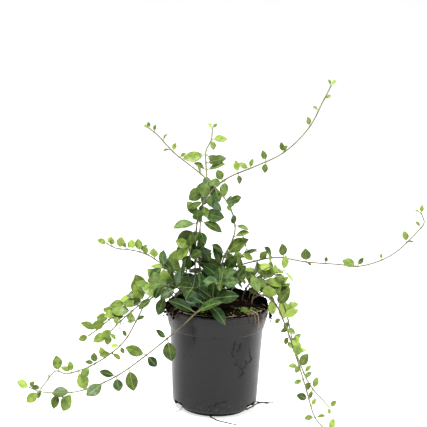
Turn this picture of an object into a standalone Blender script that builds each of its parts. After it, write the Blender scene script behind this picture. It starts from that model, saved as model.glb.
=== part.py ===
"""Potted periwinkle: a nursery pot filled with soil, and the leafy stems that grow out of it.

The script works in metres. Places and lengths in its lists are in millimetres, and MM scales them.
"""

import math
import random

import bmesh
import bpy
import numpy as np
from mathutils.bvhtree import BVHTree

MM = 0.001
WELD = 1e-6
COLLECTION = "potted_periwinkle"

# Pot: radius and height of its wall, in millimetres, from the inside of the floor over the rim to the foot
POT_STEPS = 32
POT_INSIDE = [
    (0, 1.4), (37.8, 1.4), (38.0, 7.2), (46.9, 7.5), (52.4, 97.6), (54.2, 100.6), (58.0, 114.8), (58.3, 122.3),
]
POT_OUTSIDE = [
    (58.9, 123.0), (59.8, 121.9), (59.5, 114.5), (56.0, 101.0), (55.6, 99.2), (54.2, 98.4),
    (49.1, 8.6), (48.1, 6.4), (39.6, 6.0), (39.3, 0.6), (38.7, 0.0), (0, 0.0),
]
SLOT_COUNT = 3
SLOT_FIRST = -30.0
SLOT_SIZE = (7.4, 18.0, 8.0)
SLOT_RADIUS = 46.6
SLOT_HEIGHT = 8.0

# Soil
SOIL_STEPS = 24
SOIL_WALL = [(57.4, 115.0), (53.7, 101.0), (51.8, 97.8), (46.3, 8.0), (37.2, 7.7), (37.0, 1.8), (0, 1.8)]
SOIL_EDGE_RADIUS = 57.7
SOIL_MIDDLE = 131.0
SOIL_EDGE = 123.4
SOIL_RINGS = 6
LUMP = 1.1
MOUND = (26.0, 26.0, 6.0, 22.0)

# Stems
STEM_FOOT = 117.5
SOIL_LEVEL = 131.0
STEM_STEP = 14.0
TIP_BACK = 0.1
HOLE_GAP = 0.35
HOLE_SIDES = 6
STEM_ROOM = 3.6

# Leaves
THICKNESS = 0.7
PETIOLE = (0.6, 0.13)
PETIOLE_HALF = 0.45
ROOT_FROM_AXIS = 0.15
FULL_ROWS = ((0.28, 0.96), (0.67, 0.82))
SHORT_ROWS = ((0.48, 1.0),)
SMALL_LEAF = 11.0
BLADE_WIDTH = (0.54, 0.74)
BLADE_DROOP = (0.02, 0.14)
LEAF_LEAN = (-14, 28)
BLADE_ROLL = (-28, 28)
FOLD = 0.26
LEAF_ROOM = 0.45
OWN_ROOM = 0.1
LIGHT = (0.0, -0.72, 0.69)
LOWEST = 0.6
RIM_ROOM = 1.0
RIM_HEIGHT = 123.0
RIM_BAND = (56.0, 61.0)
TURNS = [
    (0, 0, 0), (0, 18, 0), (0, -18, 0), (0, 0, 30), (0, 0, -30), (14, 0, 0), (-14, 0, 0), (0, 36, 0),
    (0, -36, 0), (18, 22, 20), (-18, 22, -20), (18, -22, 20), (-18, -22, -20), (32, 0, 25), (-32, 0, -25),
    (0, 55, 0), (40, 30, 0), (-40, 30, 0), (40, -30, 0), (-40, -30, 0), (60, 15, 0), (-60, 15, 0),
]
SHORTER = (1.0, 0.8, 0.62)

# Each stem that has a place of its own. "way" is where it leaves the soil and how it runs from there, in
# millimetres, "thick" its diameter at the foot and at the tip, and "leaves" are, for each leaf: the share of
# the way at which it grows, its blade's length, and its direction seen from the front, in degrees
# anticlockwise from the right. Two leaves at one share are a pair.
STEMS = {
    "stem_upper_right": {
        "way": [(-26, 18, 131), (-27, 18, 168), (-26, 17, 214), (-21, 14, 236), (-11, 11, 254), (9, 7, 272),
                (37, 1, 286), (71, -5, 305), (98, -11, 335), (109, -15, 359), (120, -19, 384)],
        "thick": (2.6, 1.4),
        "leaves": [(0.07, 22, 225), (0.08, 20, 330), (0.12, 27, 316), (0.12, 19, 38), (0.125, 22, 110),
                   (0.165, 18, 120), (0.165, 16, 60), (0.195, 22, 210), (0.235, 22, 196), (0.24, 13, 252),
                   (0.265, 25, 187), (0.27, 19, 86), (0.29, 18, 130), (0.315, 11, 190), (0.34, 13, 290),
                   (0.355, 18, 218), (0.395, 14, 272), (0.455, 14, 188), (0.455, 13, 115), (0.465, 16, 268),
                   (0.52, 12, 106), (0.52, 10, 280),
                   (0.565, 13, 152), (0.565, 10, 75), (0.63, 11, 112), (0.63, 11, 262), (0.7, 10, 106),
                   (0.7, 10, 40), (0.835, 10, 110), (0.9, 7, 145), (0.945, 7, 50), (1.0, 7, 115),
                   (1.0, 7, 50)],
    },
    "stem_upper_left": {
        "way": [(4, 6, 131), (5, 6, 173), (17, 2, 204), (18, 0, 217), (15, -2, 231), (8, -5, 246),
                (-4, -8, 261), (-22, -10, 278), (-56, -15, 305), (-69, -18, 320), (-82, -21, 331)],
        "thick": (2.4, 1.4),
        "leaves": [(0.09, 22, 155), (0.09, 20, 20), (0.15, 24, 112), (0.15, 21, 320), (0.21, 28, 40),
                   (0.21, 19, 200), (0.305, 17, 25), (0.365, 14, 108), (0.365, 14, 335), (0.445, 14, 92),
                   (0.485, 15, 30), (0.485, 8, 290), (0.58, 14, 290), (0.625, 19, 250), (0.67, 12, 138),
                   (0.8, 7, 35), (0.84, 8, 75),
                   (0.855, 7, 190), (0.91, 8, 62), (0.965, 7, 85), (1.0, 6, 150), (1.0, 6, 100)],
    },
    "stem_top": {
        "way": [(-18, 13, 131), (-22, 11, 171), (-22, 12, 216), (-20, 18, 237), (-16, 21, 262),
                (-17, 22, 282), (-18, 23, 298), (-12, 24, 312), (-11, 25, 327)],
        "thick": (2.4, 1.4),
        "leaves": [(0.17, 20, 318), (0.22, 21, 75), (0.3, 20, 300), (0.39, 15, 255), (0.39, 15, 292),
                   (0.445, 24, 341), (0.5, 23, 346), (0.5, 14, 205), (0.55, 14, 255), (0.57, 22, 326),
                   (0.61, 15, 262), (0.64, 21, 214), (0.64, 16, 330), (0.69, 18, 245), (0.69, 17, 300),
                   (0.72, 18, 275), (0.745, 22, 25), (0.745, 14, 150), (0.785, 21, 5), (0.835, 23, 203),
                   (0.835, 21, 332), (0.93, 16, 3), (0.93, 10, 285), (1.0, 6, 125), (1.0, 6, 50)],
    },
    "stem_middle": {
        "way": [(-38, 4, 131), (-38, 3, 152), (-34, 2, 174), (-32, 1, 192)],
        "thick": (2.2, 1.4),
        "leaves": [(0.25, 22, 195), (0.3, 22, 340), (0.5, 23, 75), (0.5, 22, 165), (0.75, 18, 15),
                   (0.78, 16, 275), (1.0, 20, 226), (1.0, 17, 98), (1.0, 16, 160)],
    },
    "stem_left": {
        "way": [(-32, 23, 131), (-49, 23, 158), (-67, 24, 165), (-81, 26, 173), (-102, 28, 179),
                (-117, 30, 179), (-132, 32, 185)],
        "thick": (2.2, 1.4),
        "leaves": [(0.2, 22, 140), (0.2, 22, 350), (0.3, 23, 172), (0.3, 18, 85), (0.42, 11, 100),
                   (0.42, 10, 330), (0.5, 13, 95), (0.58, 10, 112), (0.58, 9, 50), (0.66, 13, 98),
                   (0.66, 10, 55), (0.73, 11, 95), (0.79, 11, 60), (0.79, 10, 125), (0.86, 15, 76),
                   (0.94, 10, 90), (1.0, 11, 152), (1.0, 8, 70)],
    },
    "stem_right": {
        "way": [(-2, 27, 131), (3, 27, 152), (16, 25, 161), (40, 22, 170), (69, 18, 177), (101, 12, 174),
                (139, 4, 174), (164, -2, 174), (198, -10, 190), (223, -16, 217), (232, -18, 231),
                (227, -20, 243)],
        "thick": (2.4, 1.4),
        "leaves": [(0.06, 20, 70), (0.1, 20, 62), (0.1, 20, 250), (0.155, 17, 285), (0.155, 14, 95),
                   (0.225, 17, 311), (0.225, 13, 150), (0.24, 12, 40), (0.295, 16, 119), (0.34, 15, 98),
                   (0.43, 16, 96), (0.43, 6, 340), (0.505, 6, 80), (0.63, 15, 160), (0.63, 10, 58),
                   (0.73, 6, 100), (0.85, 11, 105), (0.85, 7, 20), (0.93, 7, 130), (1.0, 9, 88),
                   (1.0, 7, 155)],
    },
    "stem_front": {
        "way": [(-4, -36, 131), (-6, -44, 143), (-14, -56, 138), (-25, -63, 129), (-42, -64, 112),
                (-78, -60, 79), (-114, -55, 50), (-154, -48, 30), (-186, -42, 25), (-202, -39, 25),
                (-214, -37, 29)],
        "thick": (2.4, 1.4),
        "leaves": [(0.045, 22, 150), (0.05, 24, 84), (0.06, 26, 14), (0.1, 28, 303), (0.11, 23, 158),
                   (0.165, 30, 149), (0.165, 27, 30), (0.325, 14, 140), (0.325, 23, 283), (0.44, 22, 157),
                   (0.44, 15, 310), (0.535, 22, 286), (0.6, 17, 160), (0.6, 15, 280), (0.66, 21, 225),
                   (0.75, 7, 120), (0.81, 23, 247), (0.81, 19, 178), (0.87, 16, 252), (0.87, 8, 320),
                   (0.95, 16, 215), (1.0, 14, 150), (1.0, 9, 60)],
    },
    "stem_right_trailing": {
        "way": [(40, -12, 131), (51, -15, 140), (65, -18, 133), (74, -22, 118), (86, -32, 90),
                (97, -44, 60), (106, -56, 34), (113, -66, 14), (124, -78, 4), (138, -92, 3), (150, -104, 3)],
        "thick": (2.4, 1.4),
        "leaves": [(0.06, 22, 110), (0.06, 20, 20), (0.11, 22, 72), (0.11, 18, 290), (0.16, 21, 50),
                   (0.235, 17, 32), (0.235, 8, 215), (0.285, 11, 310), (0.33, 10, 250), (0.345, 15, 310),
                   (0.385, 13, 70), (0.41, 11, 115), (0.445, 15, 88), (0.495, 17, 62), (0.495, 10, 178),
                   (0.56, 10, 40), (0.56, 9, 205), (0.62, 11, 75), (0.66, 12, 165), (0.7, 8, 60),
                   (0.76, 10, 20), (0.76, 10, 190), (0.87, 15, 75),
                   (0.93, 13, 25), (0.93, 12, 160), (1.0, 12, 40), (1.0, 10, 330)],
    },
    "stem_right_twin": {
        "way": [(46, 8, 131), (60, 3, 141), (73, -4, 134), (82, -14, 112), (88, -24, 88), (99, -35, 60),
                (109, -44, 42), (121, -50, 30), (131, -54, 20)],
        "thick": (2.0, 1.4),
        "leaves": [(0.07, 22, 140), (0.12, 23, 66), (0.12, 22, 20), (0.2, 19, 95), (0.2, 24, 290),
                   (0.29, 14, 30), (0.36, 10, 250), (0.42, 9, 200), (0.5, 10, 60), (0.58, 10, 20),
                   (0.66, 9, 240), (0.72, 10, 50), (0.84, 12, 70), (0.84, 9, 250),
                   (1.0, 9, 35), (1.0, 7, 280)],
    },
    "stem_left_trailing": {
        "way": [(-48, -13, 131), (-66, -17, 138), (-83, -18, 126), (-91, -20, 110), (-108, -22, 80),
                (-142, -22, 53), (-176, -20, 40), (-184, -18, 44), (-203, -16, 20)],
        "thick": (2.2, 1.4),
        "leaves": [(0.07, 24, 165), (0.07, 22, 250), (0.14, 20, 120), (0.14, 18, 215), (0.3, 9, 40),
                   (0.3, 8, 185), (0.4, 9, 120), (0.46, 9, 190), (0.46, 8, 300), (0.52, 12, 200),
                   (0.52, 11, 320), (0.57, 11, 110), (0.63, 12, 95), (0.63, 9, 165),
                   (0.66, 14, 235), (0.735, 22, 295), (0.77, 11, 95), (0.77, 11, 150), (0.845, 17, 100),
                   (0.93, 8, 60), (1.0, 11, 250), (1.0, 9, 170)],
    },
    "stem_left_lower": {
        "way": [(-47, 1, 131), (-64, 1, 138), (-80, 2, 128), (-99, 2, 112), (-114, 0, 98), (-126, -2, 85)],
        "thick": (2.0, 1.4),
        "leaves": [(0.15, 22, 95), (0.3, 22, 145), (0.3, 20, 40), (0.45, 22, 190), (0.45, 19, 110),
                   (0.54, 16, 70), (0.62, 21, 150), (0.62, 16, 250), (0.72, 13, 185), (0.8, 13, 120),
                   (0.87, 11, 70), (0.93, 13, 215), (1.0, 18, 194), (1.0, 14, 262), (1.0, 9, 320)],
    },
    "stem_left_upper": {
        "way": [(-42, 15, 131), (-62, 15, 142), (-86, 13, 132), (-108, 12, 116), (-124, 12, 100),
                (-143, 12, 83), (-151, 12, 77)],
        "thick": (2.0, 1.4),
        "leaves": [(0.14, 22, 70), (0.2, 22, 130), (0.28, 20, 60), (0.37, 20, 118), (0.37, 18, 200),
                   (0.46, 18, 95), (0.46, 16, 190), (0.55, 19, 155), (0.6, 17, 72), (0.64, 16, 190),
                   (0.7, 16, 137), (0.72, 13, 80), (0.76, 16, 118), (0.8, 15, 195), (0.9, 18, 153),
                   (0.9, 11, 80), (1.0, 11, 200)],
    },
    "stem_back": {
        "way": [(6, 40, 131), (6, 53, 143), (4, 66, 138), (2, 76, 119), (-2, 85, 90), (-6, 97, 58),
                (-9, 112, 30), (-14, 131, 11), (-22, 151, 5)],
        "thick": (2.2, 1.4),
        "leaves": [(0.1, 22, 150), (0.1, 21, 20), (0.22, 22, 165), (0.22, 20, 345), (0.34, 21, 150),
                   (0.34, 19, 25), (0.46, 19, 190), (0.46, 18, 345), (0.57, 16, 160), (0.57, 15, 10),
                   (0.68, 13, 200), (0.68, 13, 350), (0.79, 12, 165), (0.79, 11, 15), (0.9, 10, 190),
                   (0.9, 9, 345), (1.0, 8, 150), (1.0, 7, 30)],
    },
}
BACK_STEMS = ("stem_back",)

# Short stems that fill the top of the pot: they stand by the golden angle, lean out and carry crossed pairs
SPRIG_COUNT = 14
SPRIG_ANGLE = 137.5
SPRIG_REACH = (10.0, 41.0)
SPRIG_LENGTH = (36.0, 58.0)
SPRIG_LEAN = (12.0, 52.0)
SPRIG_THICK = (2.0, 1.4)
SPRIG_PAIRS = 4
SPRIG_BLADE = (25.0, 15.0)
BARE_SIDE = (-78.0, -8.0)
BARE_FROM = 16.0
BARE_PATCH = (6.0, 8.0, 28.0, 149.0)
SPRIG_OPENING = 62.0
SPRIG_BOW = 7.0
SPRIG_BARE_SHARE = 0.26
SPRIG_TURN = 7
LEAN_SPREAD = 8.0
BLADE_SPREAD = 2.0
PAIR_SPREAD = 20.0
OPENING_SPREAD = 10.0

POT_COLOUR = (0.058, 0.058, 0.060, 1.0)
SOIL_COLOUR = (0.030, 0.021, 0.015, 1.0)
LEAF_COLOUR = (0.105, 0.215, 0.045, 1.0)


def make_material(name, colour, roughness):
    material = bpy.data.materials.new(name)
    material.use_nodes = True
    shader = material.node_tree.nodes["Principled BSDF"]
    shader.inputs["Base Color"].default_value = colour
    shader.inputs["Roughness"].default_value = roughness
    shader.inputs["Metallic"].default_value = 0.0
    return material


def add_object(name, data, collection, material=None):
    made = bpy.data.objects.new(name, data)
    collection.objects.link(made)
    if material:
        data.materials.clear()
        data.materials.append(material)
    return made


def evaluated_mesh(source):
    """A new mesh with the object's modifiers applied."""
    graph = bpy.context.evaluated_depsgraph_get()
    graph.update()
    return bpy.data.meshes.new_from_object(source.evaluated_get(graph))


def welded_mesh(source):
    """The same, with points that lie on one another made one, as where a tube's caps meet its wall."""
    mesh = evaluated_mesh(source)
    edit = bmesh.new()
    edit.from_mesh(mesh)
    bmesh.ops.remove_doubles(edit, verts=edit.verts, dist=WELD)
    edit.to_mesh(mesh)
    edit.free()
    return mesh


def turned(name, profile, steps, collection, material):
    """The closed solid that a profile of (radius, height) in millimetres sweeps round the Z axis."""
    mesh = bpy.data.meshes.new(name)
    points = [(radius * MM, 0.0, height * MM) for radius, height in profile]
    mesh.from_pydata(points, [(i, i + 1) for i in range(len(points) - 1)], [])
    made = add_object(name, mesh, collection, material)
    screw = made.modifiers.new("Turn", "SCREW")
    screw.steps = steps
    screw.render_steps = steps
    screw.use_merge_vertices = True
    screw.merge_threshold = 1e-5
    screw.use_smooth_shade = False
    return made


def cut(made, cutters):
    """Cut every object of the collection out of the given one."""
    boolean = made.modifiers.new("Cut", "BOOLEAN")
    boolean.operation = "DIFFERENCE"
    boolean.operand_type = "COLLECTION"
    boolean.collection = cutters


def add_cutter(name, edit, cutters):
    mesh = bpy.data.meshes.new(name)
    edit.to_mesh(mesh)
    edit.free()
    made = add_object(name, mesh, cutters)
    made.hide_render = True
    made.display_type = "WIRE"
    return made


def make_pot(parts, cutters, material):
    """The pot, with drainage slots through the corner of its stepped underside."""
    pot = turned("pot", POT_INSIDE + POT_OUTSIDE, POT_STEPS, parts, material)
    for index in range(SLOT_COUNT):
        turn = math.radians(SLOT_FIRST) + 2 * math.pi * index / SLOT_COUNT
        edit = bmesh.new()
        bmesh.ops.create_cube(edit, size=MM)
        bmesh.ops.scale(edit, vec=SLOT_SIZE, verts=edit.verts)
        slot = add_cutter(f"slot_{index}", edit, cutters)
        centre = (SLOT_RADIUS * math.cos(turn), SLOT_RADIUS * math.sin(turn), SLOT_HEIGHT)
        slot.location = [value * MM for value in centre]
        slot.rotation_euler = (0, 0, turn)
    cut(pot, cutters)
    return pot


def soil_top(x, y):
    """Height of the soil's surface: a low dome with a mound and lumps that fade out at the pot's wall."""
    share = np.minimum(np.hypot(x, y) / SOIL_EDGE_RADIUS, 1.0)
    lumps = np.sin(0.19 * x + 1.1) * np.cos(0.23 * y - 0.4) + 0.7 * np.sin(0.31 * x - 0.27 * y + 2.0)
    middle_x, middle_y, rise, spread = MOUND
    mound = rise * np.exp(-((x - middle_x) ** 2 + (y - middle_y) ** 2) / spread**2)
    return SOIL_MIDDLE - (SOIL_MIDDLE - SOIL_EDGE) * share**3 + (LUMP * lumps + mound) * (1 - share**4)


def make_soil(parts, cutters, material, feet):
    """The soil, which follows the pot's inside at a small gap and has a hole round each stem's foot."""
    top = [(SOIL_EDGE_RADIUS * ring / SOIL_RINGS, SOIL_MIDDLE) for ring in range(SOIL_RINGS)]
    top.append((SOIL_EDGE_RADIUS, SOIL_EDGE))
    soil = turned("soil", top + SOIL_WALL, SOIL_STEPS, parts, material)
    lumpy = welded_mesh(soil)
    soil.modifiers.clear()
    points = np.empty(len(lumpy.vertices) * 3)
    lumpy.vertices.foreach_get("co", points)
    points = points.reshape(-1, 3)
    upper = points[:, 2] > (SOIL_EDGE - 1) * MM
    points[upper, 2] = soil_top(points[upper, 0] / MM, points[upper, 1] / MM) * MM
    lumpy.vertices.foreach_set("co", points.ravel())
    soil.data = lumpy
    for name, (x, y, width) in feet.items():
        radius = (width / 2 + HOLE_GAP) / math.cos(math.pi / HOLE_SIDES)
        depth = SOIL_LEVEL + 8 - STEM_FOOT + HOLE_GAP
        edit = bmesh.new()
        size = {"radius1": radius * MM, "radius2": radius * MM, "depth": depth * MM}
        bmesh.ops.create_cone(edit, cap_ends=True, segments=HOLE_SIDES, **size)
        hole = add_cutter(f"hole_{name}", edit, cutters)
        hole.location = (x * MM, y * MM, (STEM_FOOT - HOLE_GAP + depth / 2) * MM)
    cut(soil, cutters)
    return soil


def unit(vector):
    return vector / np.linalg.norm(vector)


def turned_about(vector, axis, degrees):
    """The vector turned about a unit axis by the right-hand rule."""
    cosine = math.cos(math.radians(degrees))
    across = np.cross(axis, vector) * math.sin(math.radians(degrees))
    return vector * cosine + across + axis * (axis @ vector) * (1 - cosine)


def smooth_way(points, spacing):
    """Evenly spaced points on the smooth curve through the given points, which sets out straight up.

    Each stretch is a cubic whose end directions are those of the chords past each point.
    """
    given = np.array(points, float)
    chord = np.linalg.norm(np.diff(given, axis=0), axis=1)
    heading = np.gradient(given, axis=0)
    heading[0] = (0, 0, 1)
    heading /= np.linalg.norm(heading, axis=1)[:, None]
    t = np.linspace(0, 1, 25)[:-1, None]
    stretches = [
        (2 * t**3 - 3 * t**2 + 1) * given[i]
        + (t**3 - 2 * t**2 + t) * heading[i] * chord[i]
        + (3 * t**2 - 2 * t**3) * given[i + 1]
        + (t**3 - t**2) * heading[i + 1] * chord[i]
        for i in range(len(given) - 1)
    ]
    curve = np.concatenate([*stretches, given[-1:]])
    travelled = np.concatenate([[0], np.cumsum(np.linalg.norm(np.diff(curve, axis=0), axis=1))])
    count = max(3, round(travelled[-1] / spacing) + 1)
    stations = np.linspace(0, travelled[-1], count)
    return np.stack([np.interp(stations, travelled, curve[:, axis]) for axis in range(3)], axis=1)


def at_share(way, share):
    """The point and the direction of a way at a share of its length."""
    place = min(share * (len(way) - 1), len(way) - 1 - TIP_BACK)
    index = min(int(place), len(way) - 2)
    step = way[index + 1] - way[index]
    return way[index] + step * (place - index), unit(step)


def plan_stems():
    """Every stem's way, thickness and wanted leaves, each leaf as (share, length, direction, light)."""
    plans = {}
    for number, (name, stem) in enumerate(STEMS.items()):
        draw = random.Random(number)
        facing = -1 if name in BACK_STEMS else 1
        way = smooth_way(stem["way"], STEM_STEP)
        leaves = []
        for share, length, clock in stem["leaves"]:
            angle = math.radians(clock)
            lean = math.radians(draw.uniform(*LEAF_LEAN))
            level = math.cos(lean)
            out = (math.cos(angle) * level, -facing * math.sin(lean), math.sin(angle) * level)
            leaves.append((share, length, np.array(out), np.array(LIGHT) * (1, facing, 1)))
        plans[name] = {"way": way, "thick": stem["thick"], "leaves": leaves}
    taken = [plan["way"] for plan in plans.values()]
    for number in range(SPRIG_COUNT):
        plan = plan_sprig(number, taken)
        taken.append(plan["way"])
        plans[f"sprig_{number + 1:02d}"] = plan
    return plans


def plan_sprig(number, taken):
    """One short stem, turned round the pot until it is clear of the ways already taken."""
    draw = random.Random(100 + number)
    share = math.sqrt((number + 0.5) / SPRIG_COUNT)
    reach = SPRIG_REACH[0] + (SPRIG_REACH[1] - SPRIG_REACH[0]) * share
    length = draw.uniform(*SPRIG_LENGTH)
    lean = SPRIG_LEAN[0] + (SPRIG_LEAN[1] - SPRIG_LEAN[0]) * share + draw.uniform(-LEAN_SPREAD, LEAN_SPREAD)
    for turn in range(0, 360, SPRIG_TURN):
        angle = (number * SPRIG_ANGLE + turn) % 360
        side = (angle + 180) % 360 - 180
        if reach > BARE_FROM and BARE_SIDE[0] < side < BARE_SIDE[1]:
            continue
        outward = np.array([math.cos(math.radians(angle)), math.sin(math.radians(angle)), 0.0])
        foot = outward * reach
        foot[2] = max(SOIL_LEVEL, soil_top(foot[0], foot[1]) + 1)
        rise = math.cos(math.radians(lean))
        run = math.sin(math.radians(lean))
        middle = foot + outward * run * length * 0.45 + (0, 0, rise * length * 0.45 + SPRIG_BOW)
        tip = foot + outward * run * length + (0, 0, rise * length - length * 0.1)
        way = smooth_way([foot, middle, tip], STEM_STEP)
        if all(room_between(way, other) > STEM_ROOM for other in taken):
            break
    leaves = []
    for pair in range(SPRIG_PAIRS):
        at = SPRIG_BARE_SHARE + (1 - SPRIG_BARE_SHARE) * pair / (SPRIG_PAIRS - 1)
        blade = SPRIG_BLADE[0] + (SPRIG_BLADE[1] - SPRIG_BLADE[0]) * at
        blade += draw.uniform(-BLADE_SPREAD, BLADE_SPREAD)
        heading = at_share(way, at)[1]
        side = unit(np.cross(heading, outward + (0, 0, 0.3)))
        side = turned_about(side, heading, 90 * (pair % 2) + draw.uniform(-PAIR_SPREAD, PAIR_SPREAD))
        light = unit(outward * 0.55 + np.array(LIGHT) * 0.6 + (0, 0, 0.3))
        for way_round in (1, -1):
            opening = math.radians(SPRIG_OPENING + draw.uniform(-OPENING_SPREAD, OPENING_SPREAD))
            out = heading * math.cos(opening) + side * way_round * math.sin(opening)
            leaves.append((at, blade, unit(out), light))
    return {"way": way, "thick": SPRIG_THICK, "leaves": leaves}


def room_between(way, other):
    """The smallest distance between the points of two ways."""
    return np.linalg.norm(way[:, None] - other[None], axis=2).min()


def leaf_solid(root, out, face, stem_half, length, width, droop, room=0.0):
    """One leaf as a closed solid of a stalk with three sides and a folded blade, as points and faces.

    The stalk starts inside the stem and ends at the blade's foot. The blade is as wide as its rows say at
    each share of its length, sinks by droop x length x share squared, and rises from the midrib to each edge
    by FOLD times its half width. With room, the solid is that much larger all round. Faces 4 and on are the
    blade.
    """
    side = np.cross(out, face)
    half = THICKNESS / 2 + room
    start = stem_half + PETIOLE[0] + PETIOLE[1] * length
    narrow = PETIOLE_HALF * stem_half + room
    rows = SHORT_ROWS if length < SMALL_LEAF else FULL_ROWS

    def place(share, across):
        lift = FOLD * abs(across) - droop * length * share**2
        return out * (start + share * length) + side * across + face * lift

    points = []
    for along in (ROOT_FROM_AXIS, start):
        points += [out * along + face * half - side * narrow, out * along + face * half + side * narrow]
        points.append(out * along - face * half)
    right = [place(share, wide * width / 2 + room) for share, wide in rows]
    left = [place(share, -wide * width / 2 - room) for share, wide in rows[::-1]]
    edge = [*right, place(1 + room / length, 0), *left]
    points += [point + face * half for point in edge] + [point - face * half for point in edge]
    top, low = 6, 6 + len(edge)
    last = len(edge) - 1
    faces = [(0, 2, 1), (0, 1, 4, 3), (0, 3, 5, 2), (1, 2, 5, 4), (3, 4, top + len(rows))]
    faces += [(4, 5, low), (4, low, top), (top + last, low + last, 5), (top + last, 5, 3)]
    for k in range(last):
        faces.append((4 if k < len(rows) else 3, top + k, top + k + 1))
        faces.append((5, low + k + 1, low + k))
        faces += [(top + k, low + k, low + k + 1), (top + k, low + k + 1, top + k + 1)]
    return root + np.array(points), faces


def tube_shape(way, radii):
    """A square tube round a way, which stands for the stem when leaves are kept clear of it."""
    heading = np.gradient(way, axis=0)
    heading /= np.linalg.norm(heading, axis=1)[:, None]
    across = np.cross(heading, (0.31, 0.83, 0.46))
    across /= np.linalg.norm(across, axis=1)[:, None]
    third = np.cross(heading, across)
    ring = np.stack([across, third, -across, -third], axis=1) * radii[:, None, None]
    points = (way[:, None] + ring).reshape(-1, 3)
    faces = []
    for row in range(len(way) - 1):
        for k in range(4):
            a, b = row * 4 + k, row * 4 + (k + 1) % 4
            faces.append((a, b, b + 4, a + 4))
    return points, faces


class Shape:
    """A solid that other leaves keep clear of."""

    def __init__(self, points, faces, stem):
        self.low = points.min(axis=0)
        self.high = points.max(axis=0)
        self.tree = BVHTree.FromPolygons(points.tolist(), faces)
        self.stem = stem

    def meets(self, other):
        if (self.low > other.high).any() or (self.high < other.low).any():
            return False
        return bool(self.tree.overlap(other.tree))


def wall_radius(height):
    """Outer radius of the pot at a height."""
    outside = POT_OUTSIDE[:-1]
    return np.interp(height, [z for _, z in outside][::-1], [r for r, _ in outside][::-1])


def in_pot_soil_or_floor(points):
    """Whether a leaf comes too near to the pot, the soil or the surface that the pot stands on."""
    blade = points[6:]
    spots = np.concatenate([blade, (blade + np.roll(blade, 1, axis=0)) / 2, blade.mean(axis=0)[None]])
    x, y, z = spots.T
    reach = np.hypot(x, y)
    top = np.maximum(soil_top(x, y), RIM_HEIGHT * (reach > RIM_BAND[0]))
    over_soil = (reach < RIM_BAND[1]) & (z < top + RIM_ROOM)
    beside_wall = (z < RIM_HEIGHT + RIM_ROOM) & (reach < wall_radius(z) + RIM_ROOM)
    return bool((over_soil | beside_wall | (z < LOWEST)).any())


def over_bare_soil(points):
    """Whether a leaf hangs over the patch at the front right where the soil shows."""
    x, y, z = points.T
    over = (x > BARE_PATCH[0]) & (y < BARE_PATCH[1] - np.maximum(0, x - BARE_PATCH[2])) & (z < BARE_PATCH[3])
    return bool((over & (np.hypot(x, y) < RIM_BAND[0])).any())


def place_leaves(plans):
    """Each stem's leaves, bent clear of all that stands already: first the long stems', then the sprigs'."""
    shapes = []
    for name, plan in plans.items():
        radii = np.linspace(*plan["thick"], len(plan["way"])) / 2 + 0.25
        shapes.append(Shape(*tube_shape(plan["way"], radii), name))
    placed = {}
    for number, (name, plan) in enumerate(plans.items()):
        draw = random.Random(500 + number)
        placed[name] = []
        for share, length, out, light in plan["leaves"]:
            root, heading = at_share(plan["way"], share)
            widest = draw.uniform(*BLADE_WIDTH)
            droop = draw.uniform(*BLADE_DROOP)
            roll = draw.uniform(*BLADE_ROLL)
            half = (plan["thick"][0] + (plan["thick"][1] - plan["thick"][0]) * share) / 2
            leaf = clear_leaf(name, shapes, root, out, light, half, length, widest, droop, roll)
            if leaf:
                placed[name].append((share, leaf))
    return placed


def clear_leaf(name, shapes, root, out, light, stem_half, length, widest, droop, roll):
    """What leaf_solid needs for the first leaf, over all its turns and lengths, that is clear of every other
    shape, or None.
    """
    for shorter in SHORTER:
        size = length * shorter
        for swing, lean, twist in TURNS:
            level = turned_about(out, np.array([0.0, -1.0, 0.0]), swing)
            across = np.cross(level, light)
            if np.linalg.norm(across) < 0.2:
                across = np.cross(level, (1.0, 0.0, 0.0))
            level = turned_about(level, unit(across), lean)
            face = turned_about(unit(light - level * (light @ level)), level, roll + twist)
            leaf = (root, level, face, stem_half, size, size * widest, droop)
            points = leaf_solid(*leaf)[0]
            if in_pot_soil_or_floor(points) or (name not in STEMS and over_bare_soil(points)):
                continue
            room = Shape(*leaf_solid(*leaf, LEAF_ROOM), name)
            if any(room.meets(shape) for shape in shapes if shape.stem != name):
                continue
            near_points, near_faces = leaf_solid(*leaf, OWN_ROOM)
            blade = Shape(near_points, near_faces[4:], name)
            if any(blade.meets(shape) for shape in shapes if shape.stem == name):
                continue
            shapes.append(Shape(*leaf_solid(*leaf), name))
            return leaf
    return None


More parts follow.
